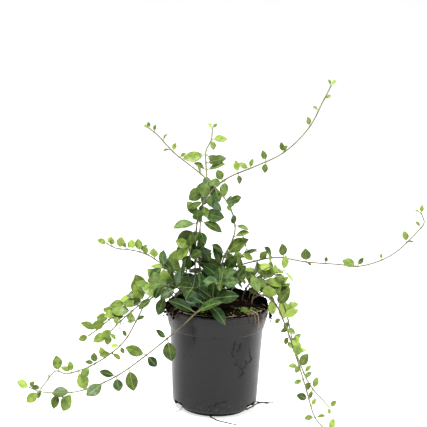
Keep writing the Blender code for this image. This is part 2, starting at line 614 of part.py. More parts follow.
def make_stem(name, plan, leaves, parts, material):
    """One leafy stem: a tapering tube with its leaves, fused into one solid."""
    foot = plan["way"][0] * (1, 1, 0) + (0, 0, STEM_FOOT)
    way = np.concatenate([[foot], plan["way"]])
    curve = bpy.data.curves.new(name, "CURVE")
    curve.dimensions = "3D"
    curve.bevel_depth = MM
    curve.bevel_resolution = 0
    curve.use_fill_caps = True
    spline = curve.splines.new("POLY")
    spline.points.add(len(way) - 1)
    thickness = np.concatenate([plan["thick"][:1], np.linspace(*plan["thick"], len(way) - 1)])
    for point, place, width in zip(spline.points, way * MM, thickness):
        point.co = (*place, 1)
        point.radius = width / 2
    tube = add_object(name, curve, parts)
    stem_mesh = welded_mesh(tube)
    bpy.data.objects.remove(tube)
    bpy.data.curves.remove(curve)
    stem = add_object(name, stem_mesh, parts, material)
    foliage = bpy.data.collections.new(f"leaves_of_{name}")
    bpy.context.scene.collection.children.link(foliage)
    for index, (_, leaf) in enumerate(leaves):
        points, faces = leaf_solid(*leaf)
        mesh = bpy.data.meshes.new(f"{name}_leaf_{index}")
        mesh.from_pydata((points * MM).tolist(), [], faces)
        add_object(mesh.name, mesh, foliage)
    union = stem.modifiers.new("Leaves", "BOOLEAN")
    union.operation = "UNION"
    union.operand_type = "COLLECTION"
    union.collection = foliage
    union.solver = "MANIFOLD"
    stem.data = evaluated_mesh(stem)
    stem.modifiers.clear()
    for leaf in list(foliage.objects):
        bpy.data.objects.remove(leaf)
    bpy.data.collections.remove(foliage)
    return stem


def main():
    for old in list(bpy.data.objects):
        bpy.data.objects.remove(old)
    scene = bpy.context.scene.collection
    parts = bpy.data.collections.new(COLLECTION)
    slots = bpy.data.collections.new("pot_cutters")
    holes = bpy.data.collections.new("soil_cutters")
    for collection in (parts, slots, holes):
        scene.children.link(collection)
    slots.hide_render = True
    holes.hide_render = True
    plastic = make_material("pot_plastic", POT_COLOUR, 0.42)
    soil = make_material("soil", SOIL_COLOUR, 0.95)
    foliage = make_material("foliage", LEAF_COLOUR, 0.4)
    plans = plan_stems()
    placed = place_leaves(plans)
    make_pot(parts, slots, plastic)
    feet = {name: (*plan["way"][0][:2], plan["thick"][0]) for name, plan in plans.items()}
    make_soil(parts, holes, soil, feet)
    for name, plan in plans.items():
        make_stem(name, plan, placed[name], parts, foliage)


main()
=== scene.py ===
"""Potted periwinkle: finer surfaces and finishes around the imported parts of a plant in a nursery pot.

Places and lengths in the lists are in millimetres, and MM scales them where a mesh is made.
"""

import math
import random

import bpy
import numpy as np
from mathutils import Matrix
from mathutils.bvhtree import BVHTree


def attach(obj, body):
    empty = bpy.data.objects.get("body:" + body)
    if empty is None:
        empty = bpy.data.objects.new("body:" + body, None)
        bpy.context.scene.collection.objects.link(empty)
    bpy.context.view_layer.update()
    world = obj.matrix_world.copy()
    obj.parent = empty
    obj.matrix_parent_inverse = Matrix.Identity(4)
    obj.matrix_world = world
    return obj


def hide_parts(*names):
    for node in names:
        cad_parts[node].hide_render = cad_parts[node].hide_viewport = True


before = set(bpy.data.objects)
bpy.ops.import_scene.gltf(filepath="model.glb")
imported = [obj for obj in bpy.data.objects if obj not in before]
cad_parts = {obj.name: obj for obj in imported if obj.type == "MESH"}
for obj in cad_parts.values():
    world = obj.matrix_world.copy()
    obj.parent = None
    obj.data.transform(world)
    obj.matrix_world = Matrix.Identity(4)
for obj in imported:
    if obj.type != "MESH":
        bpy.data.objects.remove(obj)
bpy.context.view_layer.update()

bl_info = {
    "name": "Potted periwinkle",
    "version": (1, 0, 0),
    "blender": (4, 5, 0),
    "location": "3D view > Sidebar > Periwinkle",
    "description": "Builds the pot, soil, leafy stems and stage of a potted periwinkle",
    "category": "Object",
}

MM = 0.001

# Pot: radius and height of its wall, in millimetres, from the inside of the floor over the rim to the foot
POT_INSIDE = [
    (0, 1.4), (37.8, 1.4), (38.0, 7.2), (46.9, 7.5),
    (52.4, 97.6), (54.2, 100.6), (58.0, 114.8), (58.3, 122.3),
]
POT_OUTSIDE = [
    (58.9, 123.0), (59.8, 121.9), (59.5, 114.5), (56.0, 101.0), (55.6, 99.2), (54.2, 98.4),
    (49.1, 8.6), (48.1, 6.4), (39.6, 6.0), (39.3, 0.6), (38.7, 0.0), (0, 0.0),
]
SLOT_COUNT = 3
SLOT_FIRST = -30.0
SLOT_SIZE = (7.4, 18.0, 8.0)
SLOT_RADIUS = 46.6
SLOT_HEIGHT = 8.0
CORNER_RADIUS = 0.7
CORNER_SHARE = 0.45
CORNER_STEPS = 4
SHARP_FROM = math.radians(40)

# Soil
SOIL_WALL = [(57.4, 115.0), (53.7, 101.0), (51.8, 97.8), (46.3, 8.0), (37.2, 7.7), (37.0, 1.8), (0, 1.8)]
SOIL_EDGE_RADIUS = 57.7
SOIL_MIDDLE = 131.0
SOIL_EDGE = 123.4
LUMP = 1.1
MOUND = (26.0, 26.0, 6.0, 22.0)

# Stems
SOIL_LEVEL = 131.0
STEM_STEP = 14.0
CURVE_STEPS = 24
TIP_BACK = 0.1
STEM_ROOM = 3.6
STEM_SKIN = 0.25

# Leaves. A leaf's solid starts with this many points and faces of its stalk.
STALK_POINTS = 6
STALK_FACES = 4
THICKNESS = 0.7
PETIOLE = (0.6, 0.13)
PETIOLE_HALF = 0.45
ROOT_FROM_AXIS = 0.15
FULL_ROWS = ((0.28, 0.96), (0.67, 0.82))
SHORT_ROWS = ((0.48, 1.0),)
SMALL_LEAF = 11.0
BLADE_WIDTH = (0.54, 0.74)
BLADE_DROOP = (0.02, 0.14)
LEAF_LEAN = (-14, 28)
BLADE_ROLL = (-28, 28)
FOLD = 0.26
LEAF_ROOM = 0.45
OWN_ROOM = 0.1
LIGHT = (0.0, -0.72, 0.69)
EDGE_ON = 0.2
LOWEST = 0.6
RIM_ROOM = 1.0
RIM_HEIGHT = 123.0
RIM_BAND = (56.0, 61.0)
TURNS = [
    (0, 0, 0), (0, 18, 0), (0, -18, 0), (0, 0, 30), (0, 0, -30), (14, 0, 0), (-14, 0, 0), (0, 36, 0),
    (0, -36, 0), (18, 22, 20), (-18, 22, -20), (18, -22, 20), (-18, -22, -20), (32, 0, 25), (-32, 0, -25),
    (0, 55, 0), (40, 30, 0), (-40, 30, 0), (40, -30, 0), (-40, -30, 0), (60, 15, 0), (-60, 15, 0),
]
SHORTER = (1.0, 0.8, 0.62)

# Each stem that has a place of its own. "way" is where it leaves the soil and how it runs from there, in
# millimetres, "thick" its diameter at the foot and at the tip, and "leaves" are, for each leaf: the share of
# the way at which it grows, its blade's length, and its direction seen from the front, in degrees
# anticlockwise from the right. Two leaves at one share are a pair.
STEMS = {
    "stem_upper_right": {
        "way": [(-26, 18, 131), (-27, 18, 168), (-26, 17, 214), (-21, 14, 236), (-11, 11, 254), (9, 7, 272),
                (37, 1, 286), (71, -5, 305), (98, -11, 335), (109, -15, 359), (120, -19, 384)],
        "thick": (2.6, 1.4),
        "leaves": [(0.07, 22, 225), (0.08, 20, 330), (0.12, 27, 316), (0.12, 19, 38), (0.125, 22, 110),
                   (0.165, 18, 120), (0.165, 16, 60), (0.195, 22, 210), (0.235, 22, 196), (0.24, 13, 252),
                   (0.265, 25, 187), (0.27, 19, 86), (0.29, 18, 130), (0.315, 11, 190), (0.34, 13, 290),
                   (0.355, 18, 218), (0.395, 14, 272), (0.455, 14, 188), (0.455, 13, 115), (0.465, 16, 268),
                   (0.52, 12, 106), (0.52, 10, 280),
                   (0.565, 13, 152), (0.565, 10, 75), (0.63, 11, 112), (0.63, 11, 262), (0.7, 10, 106),
                   (0.7, 10, 40), (0.835, 10, 110), (0.9, 7, 145), (0.945, 7, 50), (1.0, 7, 115),
                   (1.0, 7, 50)],
    },
    "stem_upper_left": {
        "way": [(4, 6, 131), (5, 6, 173), (17, 2, 204), (18, 0, 217), (15, -2, 231), (8, -5, 246),
                (-4, -8, 261), (-22, -10, 278), (-56, -15, 305), (-69, -18, 320), (-82, -21, 331)],
        "thick": (2.4, 1.4),
        "leaves": [(0.09, 22, 155), (0.09, 20, 20), (0.15, 24, 112), (0.15, 21, 320), (0.21, 28, 40),
                   (0.21, 19, 200), (0.305, 17, 25), (0.365, 14, 108), (0.365, 14, 335), (0.445, 14, 92),
                   (0.485, 15, 30), (0.485, 8, 290), (0.58, 14, 290), (0.625, 19, 250), (0.67, 12, 138),
                   (0.8, 7, 35), (0.84, 8, 75),
                   (0.855, 7, 190), (0.91, 8, 62), (0.965, 7, 85), (1.0, 6, 150), (1.0, 6, 100)],
    },
    "stem_top": {
        "way": [(-18, 13, 131), (-22, 11, 171), (-22, 12, 216), (-20, 18, 237), (-16, 21, 262),
                (-17, 22, 282), (-18, 23, 298), (-12, 24, 312), (-11, 25, 327)],
        "thick": (2.4, 1.4),
        "leaves": [(0.17, 20, 318), (0.22, 21, 75), (0.3, 20, 300), (0.39, 15, 255), (0.39, 15, 292),
                   (0.445, 24, 341), (0.5, 23, 346), (0.5, 14, 205), (0.55, 14, 255), (0.57, 22, 326),
                   (0.61, 15, 262), (0.64, 21, 214), (0.64, 16, 330), (0.69, 18, 245), (0.69, 17, 300),
                   (0.72, 18, 275), (0.745, 22, 25), (0.745, 14, 150), (0.785, 21, 5), (0.835, 23, 203),
                   (0.835, 21, 332), (0.93, 16, 3), (0.93, 10, 285), (1.0, 6, 125), (1.0, 6, 50)],
    },
    "stem_middle": {
        "way": [(-38, 4, 131), (-38, 3, 152), (-34, 2, 174), (-32, 1, 192)],
        "thick": (2.2, 1.4),
        "leaves": [(0.25, 22, 195), (0.3, 22, 340), (0.5, 23, 75), (0.5, 22, 165), (0.75, 18, 15),
                   (0.78, 16, 275), (1.0, 20, 226), (1.0, 17, 98), (1.0, 16, 160)],
    },
    "stem_left": {
        "way": [(-32, 23, 131), (-49, 23, 158), (-67, 24, 165), (-81, 26, 173), (-102, 28, 179),
                (-117, 30, 179), (-132, 32, 185)],
        "thick": (2.2, 1.4),
        "leaves": [(0.2, 22, 140), (0.2, 22, 350), (0.3, 23, 172), (0.3, 18, 85), (0.42, 11, 100),
                   (0.42, 10, 330), (0.5, 13, 95), (0.58, 10, 112), (0.58, 9, 50), (0.66, 13, 98),
                   (0.66, 10, 55), (0.73, 11, 95), (0.79, 11, 60), (0.79, 10, 125), (0.86, 15, 76),
                   (0.94, 10, 90), (1.0, 11, 152), (1.0, 8, 70)],
    },
    "stem_right": {
        "way": [(-2, 27, 131), (3, 27, 152), (16, 25, 161), (40, 22, 170), (69, 18, 177), (101, 12, 174),
                (139, 4, 174), (164, -2, 174), (198, -10, 190), (223, -16, 217), (232, -18, 231),
                (227, -20, 243)],
        "thick": (2.4, 1.4),
        "leaves": [(0.06, 20, 70), (0.1, 20, 62), (0.1, 20, 250), (0.155, 17, 285), (0.155, 14, 95),
                   (0.225, 17, 311), (0.225, 13, 150), (0.24, 12, 40), (0.295, 16, 119), (0.34, 15, 98),
                   (0.43, 16, 96), (0.43, 6, 340), (0.505, 6, 80), (0.63, 15, 160), (0.63, 10, 58),
                   (0.73, 6, 100), (0.85, 11, 105), (0.85, 7, 20), (0.93, 7, 130), (1.0, 9, 88),
                   (1.0, 7, 155)],
    },
    "stem_front": {
        "way": [(-4, -36, 131), (-6, -44, 143), (-14, -56, 138), (-25, -63, 129), (-42, -64, 112),
                (-78, -60, 79), (-114, -55, 50), (-154, -48, 30), (-186, -42, 25), (-202, -39, 25),
                (-214, -37, 29)],
        "thick": (2.4, 1.4),
        "leaves": [(0.045, 22, 150), (0.05, 24, 84), (0.06, 26, 14), (0.1, 28, 303), (0.11, 23, 158),
                   (0.165, 30, 149), (0.165, 27, 30), (0.325, 14, 140), (0.325, 23, 283), (0.44, 22, 157),
                   (0.44, 15, 310), (0.535, 22, 286), (0.6, 17, 160), (0.6, 15, 280), (0.66, 21, 225),
                   (0.75, 7, 120), (0.81, 23, 247), (0.81, 19, 178), (0.87, 16, 252), (0.87, 8, 320),
                   (0.95, 16, 215), (1.0, 14, 150), (1.0, 9, 60)],
    },
    "stem_right_trailing": {
        "way": [(40, -12, 131), (51, -15, 140), (65, -18, 133), (74, -22, 118), (86, -32, 90),
                (97, -44, 60), (106, -56, 34), (113, -66, 14), (124, -78, 4), (138, -92, 3), (150, -104, 3)],
        "thick": (2.4, 1.4),
        "leaves": [(0.06, 22, 110), (0.06, 20, 20), (0.11, 22, 72), (0.11, 18, 290), (0.16, 21, 50),
                   (0.235, 17, 32), (0.235, 8, 215), (0.285, 11, 310), (0.33, 10, 250), (0.345, 15, 310),
                   (0.385, 13, 70), (0.41, 11, 115), (0.445, 15, 88), (0.495, 17, 62), (0.495, 10, 178),
                   (0.56, 10, 40), (0.56, 9, 205), (0.62, 11, 75), (0.66, 12, 165), (0.7, 8, 60),
                   (0.76, 10, 20), (0.76, 10, 190), (0.87, 15, 75),
                   (0.93, 13, 25), (0.93, 12, 160), (1.0, 12, 40), (1.0, 10, 330)],
    },
    "stem_right_twin": {
        "way": [(46, 8, 131), (60, 3, 141), (73, -4, 134), (82, -14, 112), (88, -24, 88), (99, -35, 60),
                (109, -44, 42), (121, -50, 30), (131, -54, 20)],
        "thick": (2.0, 1.4),
        "leaves": [(0.07, 22, 140), (0.12, 23, 66), (0.12, 22, 20), (0.2, 19, 95), (0.2, 24, 290),
                   (0.29, 14, 30), (0.36, 10, 250), (0.42, 9, 200), (0.5, 10, 60), (0.58, 10, 20),
                   (0.66, 9, 240), (0.72, 10, 50), (0.84, 12, 70), (0.84, 9, 250),
                   (1.0, 9, 35), (1.0, 7, 280)],
    },
    "stem_left_trailing": {
        "way": [(-48, -13, 131), (-66, -17, 138), (-83, -18, 126), (-91, -20, 110), (-108, -22, 80),
                (-142, -22, 53), (-176, -20, 40), (-184, -18, 44), (-203, -16, 20)],
        "thick": (2.2, 1.4),
        "leaves": [(0.07, 24, 165), (0.07, 22, 250), (0.14, 20, 120), (0.14, 18, 215), (0.3, 9, 40),
                   (0.3, 8, 185), (0.4, 9, 120), (0.46, 9, 190), (0.46, 8, 300), (0.52, 12, 200),
                   (0.52, 11, 320), (0.57, 11, 110), (0.63, 12, 95), (0.63, 9, 165),
                   (0.66, 14, 235), (0.735, 22, 295), (0.77, 11, 95), (0.77, 11, 150), (0.845, 17, 100),
                   (0.93, 8, 60), (1.0, 11, 250), (1.0, 9, 170)],
    },
    "stem_left_lower": {
        "way": [(-47, 1, 131), (-64, 1, 138), (-80, 2, 128), (-99, 2, 112), (-114, 0, 98), (-126, -2, 85)],
        "thick": (2.0, 1.4),
        "leaves": [(0.15, 22, 95), (0.3, 22, 145), (0.3, 20, 40), (0.45, 22, 190), (0.45, 19, 110),
                   (0.54, 16, 70), (0.62, 21, 150), (0.62, 16, 250), (0.72, 13, 185), (0.8, 13, 120),
                   (0.87, 11, 70), (0.93, 13, 215), (1.0, 18, 194), (1.0, 14, 262), (1.0, 9, 320)],
    },
    "stem_left_upper": {
        "way": [(-42, 15, 131), (-62, 15, 142), (-86, 13, 132), (-108, 12, 116), (-124, 12, 100),
                (-143, 12, 83), (-151, 12, 77)],
        "thick": (2.0, 1.4),
        "leaves": [(0.14, 22, 70), (0.2, 22, 130), (0.28, 20, 60), (0.37, 20, 118), (0.37, 18, 200),
                   (0.46, 18, 95), (0.46, 16, 190), (0.55, 19, 155), (0.6, 17, 72), (0.64, 16, 190),
                   (0.7, 16, 137), (0.72, 13, 80), (0.76, 16, 118), (0.8, 15, 195), (0.9, 18, 153),
                   (0.9, 11, 80), (1.0, 11, 200)],
    },
    "stem_back": {
        "way": [(6, 40, 131), (6, 53, 143), (4, 66, 138), (2, 76, 119), (-2, 85, 90), (-6, 97, 58),
                (-9, 112, 30), (-14, 131, 11), (-22, 151, 5)],
        "thick": (2.2, 1.4),
        "leaves": [(0.1, 22, 150), (0.1, 21, 20), (0.22, 22, 165), (0.22, 20, 345), (0.34, 21, 150),
                   (0.34, 19, 25), (0.46, 19, 190), (0.46, 18, 345), (0.57, 16, 160), (0.57, 15, 10),
                   (0.68, 13, 200), (0.68, 13, 350), (0.79, 12, 165), (0.79, 11, 15), (0.9, 10, 190),
                   (0.9, 9, 345), (1.0, 8, 150), (1.0, 7, 30)],
    },
}
BACK_STEMS = ("stem_back",)

# Short stems that fill the top of the pot: they stand by the golden angle, lean out and carry crossed pairs
SPRIG_COUNT = 14
SPRIG_ANGLE = 137.5
SPRIG_REACH = (10.0, 41.0)
SPRIG_LENGTH = (36.0, 58.0)
SPRIG_LEAN = (12.0, 52.0)
SPRIG_THICK = (2.0, 1.4)
SPRIG_PAIRS = 4
SPRIG_BLADE = (25.0, 15.0)
BARE_SIDE = (-78.0, -8.0)
BARE_FROM = 16.0
BARE_PATCH = (6.0, 8.0, 28.0, 149.0)
SPRIG_OPENING = 62.0
SPRIG_BOW = 7.0
SPRIG_BARE_SHARE = 0.26
SPRIG_TURN = 7
SPRIG_MIDDLE = 0.45
SPRIG_SINK = 0.1
SIDE_RISE = 0.3
# A short stem's leaves face a mix of outwards, the light and straight up
FACE_OUT = 0.55
FACE_LIGHT = 0.6
FACE_UP = 0.3
SPRIG_SEED = 100
LEAF_SEED = 500
LEAN_SPREAD = 8.0
BLADE_SPREAD = 2.0
PAIR_SPREAD = 20.0
OPENING_SPREAD = 10.0

# Finer surfaces
FINE_STEP = 1.6
STEM_SIDES = 10
LEAF_SIDES = 16
STALK_ROWS = (0.0, 0.5, 1.0)
BLADE_STATIONS = 13
# A stalk's radius where its leaf is FULL_LENGTH long, down to half of that for the smallest leaf
STALK_RADIUS = 0.55
FULL_LENGTH = 25
# Half the thickness of a blade, and a stem's radius at its tip
BLADE_HALF = 0.17
TIP_RADIUS = 0.72
# Lengths at which a leaf starts to count as small or large and is wholly so, and how much narrower it then is
SMALL_LENGTHS = (13.0, 7.0)
LARGE_LENGTHS = (20.0, 28.0)
BLADE_WIDER = 1.04
SMALL_NARROWER = 0.12
LARGE_NARROWER = 0.2
# The blade's outline and relief, where two values are the least and the most over all leaves. The ripple, the
# arch and the bend are shares of its length, and the valley and the rib's width shares of its width.
OUTLINE_PEAK = (0.88, 1.05)
OUTLINE_POWER = 0.72
OUTLINE_POINTED = 0.16
STALK_FADE = 0.16
VALLEY = 0.16
VALLEY_LEAST = 0.05
FOLDS = (0.4, 1.4)
SMALL_FOLD = 0.3
CURL = (0.0, 0.5)
RIPPLE = (0.0, 0.009)
RIPPLE_WAVES = 1.6
RIB_HEIGHT = 0.26
RIB_WIDTH = 0.06
ARCH = (-0.02, 0.07)
BEND = (-0.07, 0.07)
# Short stems stay brown: how far along to green they get, and how thick they are next to the long ones
SPRIG_GREEN = 0.3
SPRIG_THIN = 0.8
# How thick a stem is at its foot next to its solid, how much thicker at its joints and how far from them, and
# the height at which it starts in the soil
FOOT_SHARE = 0.74
NODE_SWELLING = 0.34
NODE_SPREAD = 1.5
BURIED = 119.0
# A direction that no stem runs along, from which the rings of a tube are turned
AWAY = (0.31, 0.83, 0.46)

# How old the leaves of each stem look at its foot and at its tip: 0 is young and yellow-green, 1 old and dark
AGES = {
    "stem_upper_right": (0.5, 0.1),
    "stem_upper_left": (0.6, 0.35),
    "stem_top": (1.2, 0.05),
    "stem_middle": (0.8, 0.25),
    "stem_left": (0.4, 0.05),
    "stem_front": (1.0, 0.35),
    "stem_right": (0.65, 0.05),
    "stem_right_trailing": (0.3, 0.35),
    "stem_right_twin": (0.1, 0.3),
    "stem_left_trailing": (0.55, 0.25),
    "stem_left_lower": (0.4, 0.15),
    "stem_left_upper": (0.35, 0.1),
    "stem_back": (0.7, 0.2),
}
# The same for the short stems where they are darkest and where they are brightest
SPRIG_AGE_DARK = (1.0, 0.75)
SPRIG_AGE_BRIGHT = (0.5, 0.1)
# The x at which they start to be brighter, and how much further right they are brightest
BRIGHT_FROM = -10
BRIGHT_OVER = 45
# Stems that are greyer than the others, and how far, and how grey any of the others is at most
GREY_STEMS = {"stem_right": 1.0, "stem_upper_right": 0.5, "stem_left": 0.8, "stem_upper_left": 0.7}
GREY_AT_MOST = 0.3
# Places where the leaves are made older than their stem's own, and so darker: the first, in the middle of the
# foliage, is painted shade deep among the leaves, and the others stand for older leaves. Each has its middle,
# distances where that starts to fade and ends, and how old at most
AGED_AND_SHADED_PLACES = [
    ((-14.0, -8.0, 136.0), (26.0, 62.0), 1.0), ((2.0, 15.0, 245.0), (14.0, 50.0), 0.6),
    ((0.0, 25.0, 290.0), (8.0, 26.0), 0.5), ((-50.0, 8.0, 216.0), (12.0, 26.0), 0.55),
]
# How far a leaf's own age strays, and how much younger it is for each millimetre below a length
AGE_STRAY = (-0.3, 0.24)
SMALL_YOUTH = 0.02
YOUNG_BELOW = 12

# Loose soil on the top. A ring is two distances from the axis, and an arc two angles round the pot. The
# roughness fades out at ROUGH_REACH, and its crumbs are this long at the least and at the most.
ROUGH_REACH = 64
ROUGH_WAVES = 26
ROUGH_LENGTHS = (3.0, 26.0)
TOP_REACH = 56.0
EDGE_RING = (51, 57)
CRUMB_SIZE = (0.5, 2.3)
CRUMB_LIFT = 0.45
OVER_RIM_SMALLER = 0.7
LUMP_RINGS = 3
LUMP_SIDES = 6
LUMP_NOISE = 0.12
LUMP_STRETCH = (0.6, 1.3)
# Crumbs heaped over the rim on the left, which slide down beyond the rim's edge
HEAP_RING = (50, 63.2)
HEAP_ARC = (178, 222)
HEAP_HEIGHT = 3.2
HEAP_SLOPE = 9
HEAP_EDGE = 59.6
# Crumbs banked above the rim on the right
BANK_RING = (46, 58.5)
BANK_ARC = (-12, 48)
BANK_HEIGHT = 4.5

# Rootlets that hang from a stem's joints: stem, share of its way, how many, and their length
HANGING_ROOTS = [
    ("stem_left_lower", 0.8, 4, 24), ("stem_left_upper", 0.76, 3, 20), ("stem_left_lower", 0.62, 3, 14),
    ("stem_left_trailing", 0.52, 4, 16), ("stem_left_trailing", 0.63, 2, 12), ("stem_front", 0.6, 2, 10),
    ("stem_right_trailing", 0.62, 2, 12), ("stem_right_twin", 0.72, 2, 12), ("stem_back", 0.68, 3, 14),
]
# Shares of that length at the least and at the most, and how far they set out down and to any side
HANGING_LENGTHS = (0.6, 1.1)
HANGING_DOWN = 0.8
HANGING_SPREAD = 0.55
# Rootlets that leave the drainage slots, and others that hang over the rim: angle round the pot and length
SLOT_ROOTS = [(-150, 14), (92, 22), (86, 16)]
RIM_ROOTS = [
    (-12, 9), (-9, 13), (-6, 11), (-138, 12), (-143, 16), (-148, 11), (-152, 14), (-156, 17), (-160, 9),
    (-165, 12), (-55, 8), (-50, 12), (-46, 15), (-43, 21), (-40, 16), (-38, 24), (-35, 22), (-31, 10),
    (-26, 14), (30, 10), (120, 12),
]
# How far from the axis those over the rim start and cross it, the share of their way at which they cross it,
# how high they start, how much lower the rim is, and how far they drop past it
RIM_ROOT_REACH = (50, 60.7)
RIM_CROSSING = 0.45
RIM_ROOT_HEIGHT = 127.2
RIM_ROOT_SINK = 2.4
RIM_ROOT_DROP = 0.9
# How far they stray: round the pot at each step, in radians, and away from the axis
RIM_ROOT_SWAY = 0.02
RIM_ROOT_STRAY = 0.5
# Stations and sides of the rootlets, and their radii: the least, the most, and the share of that at the tip
HANGING_STATIONS = 10
ROOT_STATIONS = 12
ROOT_SIDES = 5
HANGING_RADII = (0.26, 0.4, 0.45)
SLOT_RADII = (0.34, 0.5, 0.5)
RIM_RADII = (0.28, 0.55, 0.5)
LAID_RADII = (0.6, 1.05, 0.65)
# Where the rootlets leave a slot: distance from the axis, height above the ground. They are down after
# 1 / SLOT_FALL of their way.
SLOT_START = (43, 5.5)
SLOT_ROOT_LIFT = 0.55
SLOT_ROOT_SPREAD = 0.3
SLOT_FALL = 2.2
# A clump of soil that hangs from the roots over the rim: angle, distance from the axis, height, spread and
# number of its crumbs, how its spread is stretched, and how far in it reaches at most
CLUMP = (-9, 62.6, 114.0, 1.7, 36)
CLUMP_SHAPE = (0.7, 1, 1.5)
CLUMP_INWARD = 0.8
# Roots that leave the pot's foot and lie on the ground, as points along each
LAID_ROOTS = [
    [(-4, -38.5, 0.9), (-5, -42, 0.6), (-1, -47, 0.6), (3.5, -53, 0.7), (12, -58, 0.7), (18, -61, 0.6),
     (25, -64, 0.5)],
    [(37, -15, 1.0), (40, -11, 0.7), (44.4, -5, 0.6), (50, 7, 0.6), (57, 11.6, 0.6), (64, 8.6, 0.5)],
    [(44.5, -11, 8.0), (47, 2, 5.0), (50, 9, 2.0), (57, 11.2, 0.6), (62, 13, 0.5), (70, 12, 0.5)],
]
LAID_STRAY = 0.2
LAID_LIFT = 0.05
# Dried trickles on the pot's wall, as the angle round the pot and the height of points along each
TRICKLES = [
    [(-66, 94), (-68, 90), (-69, 84), (-70, 80), (-68, 77)],
    [(-60, 90), (-60, 85), (-62, 82), (-64, 81)],
    [(-65, 73), (-63, 70), (-64, 67), (-60, 63), (-56, 60), (-52, 60), (-48, 62), (-47, 65), (-50, 68)],
    [(-44, 81), (-44, 78), (-42, 73), (-38, 69), (-40, 66), (-44, 65), (-47, 64)],
    [(-54, 57), (-52, 54), (-54, 52), (-57, 52)],
    [(-97, 9), (-96, 12), (-94, 15), (-91, 18), (-86, 20), (-78, 21), (-73, 22)],
]
LINE_STATIONS = 24
TRICKLE_LIFT = 0.1
TRICKLE_RADIUS = (0.6, 0.85)
TRICKLE_THINNEST = 0.12
TRICKLE_SWELLINGS = (2.5, 5)
TRICKLE_WAVER = 0.008
# Blots: two at every third station of a trickle
BLOT_EVERY = 3
BLOTS_THERE = 2
BLOT_SIZE = (0.4, 1.3)
BLOT_STRAY = 1.1
# The share of its height above the wall that a trickle keeps
FLATNESS = 0.4
# Fibres on the soil and along the rim: where they start, their lengths or arcs, their radii from end to end
FIBRE_RING = (8, 54)
FIBRE_LENGTH = (5, 16)
FIBRE_LIFT = 0.9
FIBRE_REACH = TOP_REACH + 0.5
FIBRE_TONES = (0, 0.6)
FIBRE_RADIUS = (0.14, 0.36)
FIBRE_TAPER = np.array([0.5, 1, 1.1, 1, 0.8, 0.3])
FIBRE_SIDES = 4
RIM_FIBRES = 30
RIM_FIBRE_ARC = (-150, -20)
RIM_FIBRE_TURN = (8, 26)
RIM_FIBRE_REACH = 57.0
RIM_FIBRE_TONES = (0.6, 1)
# How far those along the rim wander at each step and stray in all, how high they lie and how far that wavers
RIM_FIBRE_SWAY = 0.35
RIM_FIBRE_STRAY = (-1.6, 0.5)
RIM_FIBRE_LIFT = (0.3, 2.2)
RIM_FIBRE_WAVER = 0.25

# Patches of moss on the soil: x, y, how far they spread, and their share of the lobes
MOSS_PLACES = [
    (34, -38, 3.4, 6), (29, -36, 3.0, 3), (43, -29, 2.5, 1), (14, -49, 2.0, 0.3), (-14, -51, 2.5, 0.4),
    (10, 51, 3.5, 2), (-30, 40, 3.0, 1),
]
MOSS_STRETCH = (1.3, 0.8)
MOSS_LIFT = 0.9
LOBE_SIZE = (0.7, 1.6)
LOBE_SHAPE = (1.3, 1.3, 0.4)

# Finishes: side veins of a leaf and how far they slant, and colours that the panel doesn't set
VEIN_PAIRS = 9.0
VEIN_SLANT = 1.7
STEM_GREY = (0.17, 0.145, 0.09)
STEM_RED = (0.16, 0.06, 0.03)
SCUFF_GREY = (0.14, 0.14, 0.14)
# The colour that the pot darkens to towards its bottom
FOOT_DARK = (0.009, 0.008, 0.004)
LIME_GREY = (0.22, 0.21, 0.20)
PEAT_BROWN = (0.013, 0.008, 0.004)
PEAT_FIBRE = (0.08, 0.045, 0.022)

# Stage: the camera's place in metres, how far it looks down and is rolled in radians, its lens and its sensor
CAMERA = (-0.00705, -1.5, 0.54102)
PITCH = 0.2038
ROLL = 0.0267
LENS = 112.63
SENSOR = 36.0
# How bright the backdrop is, the sky that lights the plant, and the floor
BACKDROP = 1.0
SKY = 0.42
FLOOR_GLOW = 0.75
# The share of the floor's glow that shows in reflections
GLOSSY_GLOW = 0.65
LIGHTS_AIM = (0, 0, 0.14)
# Each soft light: its name, place, width and height in metres, and power
LIGHTS = [
    ("key_light", (-0.45, -1.0, 2.1), (1.0, 0.8), 54.0),
    ("fill_light", (1.7, -0.5, 0.9), (0.8, 1.6), 19.0),
    ("top_light", (0.1, 0.5, 2.2), (1.6, 1.2), 22.0),
]


def soil_top(x, y):
    """Height of the soil's surface: a low dome with a mound and lumps that fade out at the pot's wall."""
    share = np.minimum(np.hypot(x, y) / SOIL_EDGE_RADIUS, 1.0)
    lumps = np.sin(0.19 * x + 1.1) * np.cos(0.23 * y - 0.4) + 0.7 * np.sin(0.31 * x - 0.27 * y + 2.0)
    middle_x, middle_y, rise, spread = MOUND
    mound = rise * np.exp(-((x - middle_x) ** 2 + (y - middle_y) ** 2) / spread**2)
    return SOIL_MIDDLE - (SOIL_MIDDLE - SOIL_EDGE) * share**3 + (LUMP * lumps + mound) * (1 - share**4)


def soil_under(points):
    """Height of the soil's surface under each of an array of points."""
    return soil_top(points[..., 0], points[..., 1])


def unit(vector):
    return vector / np.linalg.norm(vector)


def units(vectors):
    """Each vector of an array, made one long."""
    return vectors / np.linalg.norm(vectors, axis=-1, keepdims=True)


def turned_about(vector, axis, degrees):
    """The vector turned about a unit axis by the right-hand rule."""
    cosine = math.cos(math.radians(degrees))
    across = np.cross(axis, vector) * math.sin(math.radians(degrees))
    return vector * cosine + across + axis * (axis @ vector) * (1 - cosine)


